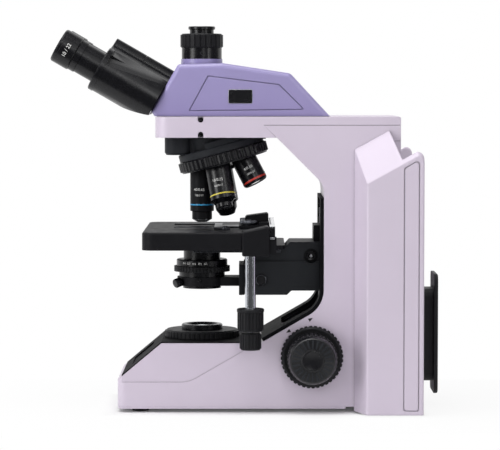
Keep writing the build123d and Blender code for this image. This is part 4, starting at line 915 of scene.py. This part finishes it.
for side, sign in hands.items():
    # the right tube has the front knuckle, the left one the rear
    split = tubeForm["split"] if sign > 0 else tubeForm["split"] - tubeForm["gap"]
    own, other = (split, tubeForm["end"]), (tubeForm["foot"], split)
    if sign < 0:
        own, other = other, own
    aside = Matrix.Translation(inMetres((sign * tubeForm["half"], -tubeForm["drop"], 0)))
    barrel = placed(tubeBarrel(sign), aside)
    sleeve = placed(turnedSolid(tubeForm["sleeve"], sides=128), aside)
    housing = joinSolids([barrel, sleeve, *tubeWebs(sign, own, other), tubeKnuckle(*own)])
    dress = ("blackSatin", "black_metal", side + "_tube")
    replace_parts(solidPiece(side + "TubeHousing", placed(housing, tubeFrame), dress), "tube_" + side)

# a lilac skirt below the base's long edges, round its front corners and along its front
skirt = {
    "outer": 62.9, "wall": 2.5, "rear": 104.0, "turnX": 55.0, "turnY": -123.0, "steps": 6,
    "top": 6.1, "depth": 2.2, "edge": 0.1, "dress": ("lilacPaint", "lilac_casting", "stand"),
}


def skirtOutlines():
    turnX, turnY, wall = skirt["turnX"], skirt["turnY"], skirt["wall"]
    reach = skirt["outer"] - turnX
    front = turnY - reach
    outlines = [[(-turnX, front), (turnX, front), (turnX, front + wall), (-turnX, front + wall)]]
    for sign in hands.values():
        near, far = sign * (skirt["outer"] - wall), sign * skirt["outer"]
        outlines.append([(near, turnY), (far, turnY), (far, skirt["rear"]), (near, skirt["rear"])])
        for step in range(skirt["steps"]):
            first, second = (math.pi / 2 * (step + more) / skirt["steps"] for more in (0, 1))
            corners = ((reach - wall, first), (reach, first), (reach, second), (reach - wall, second))
            outlines.append([
                (sign * (turnX + length * math.cos(turn)), turnY - length * math.sin(turn))
                for length, turn in corners
            ])
    return outlines


flatPiece(
    "baseSkirt", skirtOutlines(), skirt["depth"], skirt["edge"],
    facingFrame((0, 0, skirt["top"]), (0, 0, -1), (0, 1, 0)), skirt["dress"],
)
print("truer forms made")

# clamp screws in the arm's notches, above and below
armScrews = {
    "radius": 2.5, "height": 6.0, "x": 53.5, "y": -45.0,
    "heights": {"headClampScrew": 301.6, "noseClampScrew": 286.0},
    "dress": ("blackSatin", "black_metal", "stand"),
}
for screwName, screwZ in armScrews["heights"].items():
    spot = (armScrews["x"], armScrews["y"], screwZ)
    socketScrew(screwName, armScrews["radius"], armScrews["height"], spot, (1, 0, 0), armScrews["dress"])

# the two thumb screws that hold the slide holder
holderScrews = {
    "x": 21.2, "y": 3.95, "z": 191.0,
    "profile": [
        (0, 0.05), (4.6, 0.05), (4.6, 0.7), (8.4, 0.7), (9.2, 1.4, "grip"), (9.2, 4.5, "grip"), (8.4, 5.2),
        (7.1, 5.2), (6.7, 4.8), (3.4, 4.8), (2.6, 5.6), (0, 5.8),
    ],
    "teeth": {"sides": 160, "teeth": 40, "bite": 0.5},
    "dress": ("darkChrome", "steel", "holder"),
}
for side, sign in hands.items():
    spot = (sign * holderScrews["x"], holderScrews["y"], holderScrews["z"])
    name = side + "HolderScrew"
    spun(name, holderScrews["profile"], spot, (0, 0, 1), holderScrews["dress"], **holderScrews["teeth"])

# the condenser's clamp screw, its small centring screws and a bright ring round its shaft's end
clampScrew = {
    "spot": (13.6, -64.2, 132.6), "axis": (0.55, -0.78, -0.29),
    "profile": [
        (0, -1), (2.2, -1), (2.2, 3.4), (4.2, 3.6), (4.8, 4.2, "grip"), (4.8, 10.4, "grip"), (4.2, 11.0),
        (2.8, 11.2), (0, 11.0),
    ],
    "teeth": {"sides": 96, "teeth": 24, "bite": 0.4},
    "dress": ("blackSatin", "black_metal", "condenser"),
}
spun(
    "condenserClampScrew", clampScrew["profile"], clampScrew["spot"], clampScrew["axis"], clampScrew["dress"],
    **clampScrew["teeth"],
)
centringScrews = {
    "radius": 2.0, "height": 1.8, "x": 25.4, "y": -47.1, "z": 133.4,
    "dress": ("blackSatin", "black_metal", "condenser"),
}
for side, sign in hands.items():
    socketScrew(
        side + "CentringScrew", centringScrews["radius"], centringScrews["height"],
        (sign * centringScrews["x"], centringScrews["y"], centringScrews["z"]), (sign, 0, 0),
        centringScrews["dress"],
    )
shaftRing = {
    "profile": [(4.7, 0.0), (5.6, 0.0), (5.6, 0.35), (5.4, 0.55), (4.9, 0.55), (4.7, 0.35)],
    "spot": (35.3, 17.0, 134.5), "dress": ("darkChrome", "steel", "condenser_drive"),
}
spun("condenserShaftRing", shaftRing["profile"], shaftRing["spot"], (1, 0, 0), shaftRing["dress"], sides=72)

# objectives: colour bands, tip rings, front lenses and plain numbers
objectiveTrim = {
    "bandSunk": -0.3, "bandEdge": 0.12, "bandProud": 0.2, "bandTurn": 0.25,  # from the barrel's radius
    # ring and lens have their radii as shares of the tip's and of the lens's own
    "ring": [(0.56, 0.02), (0.96, 0.02), (0.96, 0.18), (0.92, 0.26), (0.6, 0.26), (0.56, 0.18)],
    "brightUpTo": 10.0,  # wider tips have a black ring
    "lensShare": 0.4, "lens": [(0, -0.55), (1, -0.55), (1, -0.35), (0.7, -0.2), (0, -0.1)],
    "letters": 4.0, "smallLetters": 2.8, "lineStep": 6.0, "secondLine": "160/0.17",
}
for node, look in objectives.items():
    foot, along = objectiveLine(look["place"])
    start, width, under, bandFinish = look["band"]
    sunk, edge, proud = (under + objectiveTrim[key] for key in ("bandSunk", "bandEdge", "bandProud"))
    turnIn = objectiveTrim["bandTurn"]
    band = [(sunk, 0), (edge, 0), (proud, turnIn), (proud, width - turnIn), (edge, width), (sunk, width)]
    spun(node + "Band", band, foot + along * start, along, (bandFinish, "black_metal", "nosepiece"), sides=72)
    tipRadius, tipEnd = look["tip"]
    ring = [(share * tipRadius, height) for share, height in objectiveTrim["ring"]]
    ringFinish = "blackMatt" if tipRadius > objectiveTrim["brightUpTo"] else "darkChrome"
    spun(node + "TipRing", ring, foot + along * tipEnd, along, (ringFinish, "steel", "nosepiece"), sides=72)
    lensRadius = objectiveTrim["lensShare"] * tipRadius
    lens = [(share * lensRadius, height) for share, height in objectiveTrim["lens"]]
    spun(node + "FrontLens", lens, foot + along * tipEnd, along, ("lensGlass", "glass", "nosepiece"))
    below = look["rise"] - objectiveTrim["lineStep"]
    lines = [
        (look["text"], objectiveTrim["letters"], look["rise"]),
        (objectiveTrim["secondLine"], objectiveTrim["smallLetters"], below),
    ]
    dress = ("whitePrint", "black_metal", "nosepiece")
    roundPrint(node + "Numbers", lines, foot, -along, look["towards"], under, dress)

tipCone = {
    "place": 0, "profile": [(5.9, 57.62), (9.9, 57.62), (9.9, 57.9), (6.3, 60.0), (5.9, 60.0)],
    "dress": ("groundSteel", "steel", "nosepiece"),
}
foot, along = objectiveLine(tipCone["place"])
spun("frontTipCone", tipCone["profile"], foot, along, tipCone["dress"], sides=96)

# eye lenses and the eyepieces' plain numbers
eyeLens = {
    "start": 108.6,
    "profile": [(0, -1.4), (5, -1.1), (9, -0.2), (10.95, 0.6), (10.95, 2.2), (9, 2.9), (5, 3.8), (0, 4.1)],
    "text": "10 / 22", "letters": 5.4, "print": 106.5, "printRadius": 18.3, "printDip": -0.05,
}
for side, sign in hands.items():
    body = side + "_tube"
    line = tubePivot + Vector((sign * tubeForm["half"], 0, 0)) - tubeUp * tubeForm["drop"]
    spot = line + tubeWay * eyeLens["start"]
    spun(side + "EyeLens", eyeLens["profile"], spot, tubeWay, ("lensGlass", "glass", body), sides=72)
    roundPrint(
        side + "EyepieceNumbers", [(eyeLens["text"], eyeLens["letters"], 0)],
        line + tubeWay * eyeLens["print"], tubeWay, (sign, 0.0, eyeLens["printDip"]), eyeLens["printRadius"],
        ("whitePrint", "black_metal", body),
    )

# plain numbers on the condenser, above its aperture ring
apertureNumbers = {
    "lines": [("0.9   0.7   0.5   0.3   0.1", 3.0, 0)], "centre": (0, -45.0, 150.6), "towards": (1, -0.3, 0),
    "radius": 26.7, "dress": ("whitePrint", "black_metal", "condenser"),
}
roundPrint(
    "apertureNumbers", apertureNumbers["lines"], apertureNumbers["centre"], (0, 0, 1),
    apertureNumbers["towards"], apertureNumbers["radius"], apertureNumbers["dress"],
)

# set screw of the photo port; screw in the carriage's recess, with a bright pin in it
sideScrews = {
    # radius, height, place, body
    "portSetScrew": (1.7, 1.5, (20.3, -45.0, 369.6), "head"),
    "carriageScrew": (5.0, 4.4, (28.0, 69.0, 159.3), "carriage"),
}
for screwName, (radius, height, spot, body) in sideScrews.items():
    socketScrew(screwName, radius, height, spot, (1, 0, 0), ("blackSatin", "black_metal", body))
carriagePin = {
    "profile": [(0, 0), (1.7, 0), (1.7, 2.3), (1.2, 2.8), (0, 3.0)], "spot": (29.6, 69.0, 159.3),
    "dress": ("groundSteel", "steel", "carriage"),
}
spun("carriagePin", carriagePin["profile"], carriagePin["spot"], (1, 0, 0), carriagePin["dress"])

# scale along the cross guide's front edge, cap and strip on the guide's end
guideScale = {
    "steps": 30, "pitch": 2.0, "half": 0.14, "lengths": ((10, 2.2), (5, 1.5), (1, 1.0)),
    "spot": (0, 26.0, 194.0), "thickness": 0.05, "edge": 0.01, "dress": ("greyPrint", "steel", "stage"),
}
ticks = []
for step in range(-guideScale["steps"], guideScale["steps"] + 1):
    length = next(length for every, length in guideScale["lengths"] if step % every == 0)
    near, far = (step * guideScale["pitch"] + sign * guideScale["half"] for sign in (-1, 1))
    ticks.append([(near, 0), (far, 0), (far, length), (near, length)])
flatPiece(
    "guideScale", ticks, guideScale["thickness"], guideScale["edge"],
    facingFrame(guideScale["spot"], (0, 0, 1), (0, 1, 0)), guideScale["dress"],
)
guideEnd = {
    "guideEndCap": ((5.2, 12.4, 0.8), 0.6, 0.2, (97.0, 28.2, 186.6), ("blackSatin", "black_metal", "stage")),
    "guideEndStrip": ((4.8, 2.2, 0.5), 0.4, 0.15, (97.6, 28.2, 182.0), ("groundSteel", "steel", "stage")),
}
sidePlates(guideEnd)

# way marks beside the focus knobs
wayMarks = {
    "x": 63.0, "arrow": [(3.0, 0.0), (-1.8, 1.9), (-1.8, -1.9)], "thickness": 0.15, "edge": 0.02,
    "marks": {"lower": (45.2, 84.1, 210), "upper": (67.5, 96.4, 30)},  # y, z and turn in degrees
    "dress": ("darkPrint", "black_metal", "stand"),
}
for word, (markY, markZ, way) in wayMarks["marks"].items():
    cosine, sine = math.cos(math.radians(way)), math.sin(math.radians(way))
    arrow = [(along * cosine - out * sine, along * sine + out * cosine) for along, out in wayMarks["arrow"]]
    flatPiece(
        word + "WayMark", [arrow], wayMarks["thickness"], wayMarks["edge"],
        sideFace((wayMarks["x"], markY, markZ)), wayMarks["dress"],
    )

# radial ribs and a dished cap on the fine knobs' faces
fineFace = {
    "y": 69.0, "z": 58.5, "ribFloor": 109.2, "capFloor": 110.0,
    "ribs": 24, "inner": 12.6, "outer": 21.2, "fill": 0.45, "ribHeight": 0.45, "ribEdge": 0.3,
    "cap": [(0, 0.02), (10.6, 0.02), (10.6, 0.3), (10.2, 0.5), (9.4, 0.5), (8.6, 0.3), (0, 0.2)],
    "ribDress": ("charcoalPaint", "black_plastic", "fine"),
    "capDress": ("blackSatin", "black_plastic", "fine"),
}


def ribOutlines():
    inner, outer = fineFace["inner"], fineFace["outer"]
    spread = fineFace["fill"] * math.pi / fineFace["ribs"]
    outlines = []
    for step in range(fineFace["ribs"]):
        turn = 2 * math.pi * step / fineFace["ribs"]
        corners = ((inner, -spread), (outer, -spread), (outer, spread), (inner, spread))
        outlines.append([
            (reach * math.cos(turn + lean), reach * math.sin(turn + lean)) for reach, lean in corners
        ])
    return outlines


for side, sign in hands.items():
    place = sideFace((sign * fineFace["ribFloor"], fineFace["y"], fineFace["z"]), sign)
    flatPiece(
        side + "FineRibs", ribOutlines(), fineFace["ribHeight"], fineFace["ribEdge"], place,
        fineFace["ribDress"],
    )
    spot = (sign * fineFace["capFloor"], fineFace["y"], fineFace["z"])
    spun(side + "FineCap", fineFace["cap"], spot, (sign, 0, 0), fineFace["capDress"], sides=96)

# a blank plate on the right flank of the head
headPlate = {
    "plateRim": ((25.0, 14.6, 1.4), 0.3, 0.15, (47.0, -4.4, 325.1), ("groundSteel", "steel", "head")),
    "blankPlate": ((24.0, 13.6, 1.0), 0.45, 0.1, (47.0, -4.4, 325.1), ("blackSatin", "black_metal", "head")),
}
sidePlates(headPlate)

# pins in the mains inlet
inletPins = {
    "spot": (42.0, 147.0, 40.0), "pin": roundedBox(2.0, 4.0, 0.4, 2), "length": 11.0, "edge": 0.8,
    "pins": ((-7.0, -2.0), (0.0, 2.0), (7.0, -2.0)), "dress": ("groundSteel", "steel", "stand"),
}
pinOutlines = [
    [(across + pinX, rise + pinZ) for across, rise in inletPins["pin"]] for pinX, pinZ in inletPins["pins"]
]
flatPiece(
    "inletPins", pinOutlines, inletPins["length"], inletPins["edge"],
    facingFrame(inletPins["spot"], (0, 1, 0), (0, 0, 1)), inletPins["dress"],
)
print("small pieces added")
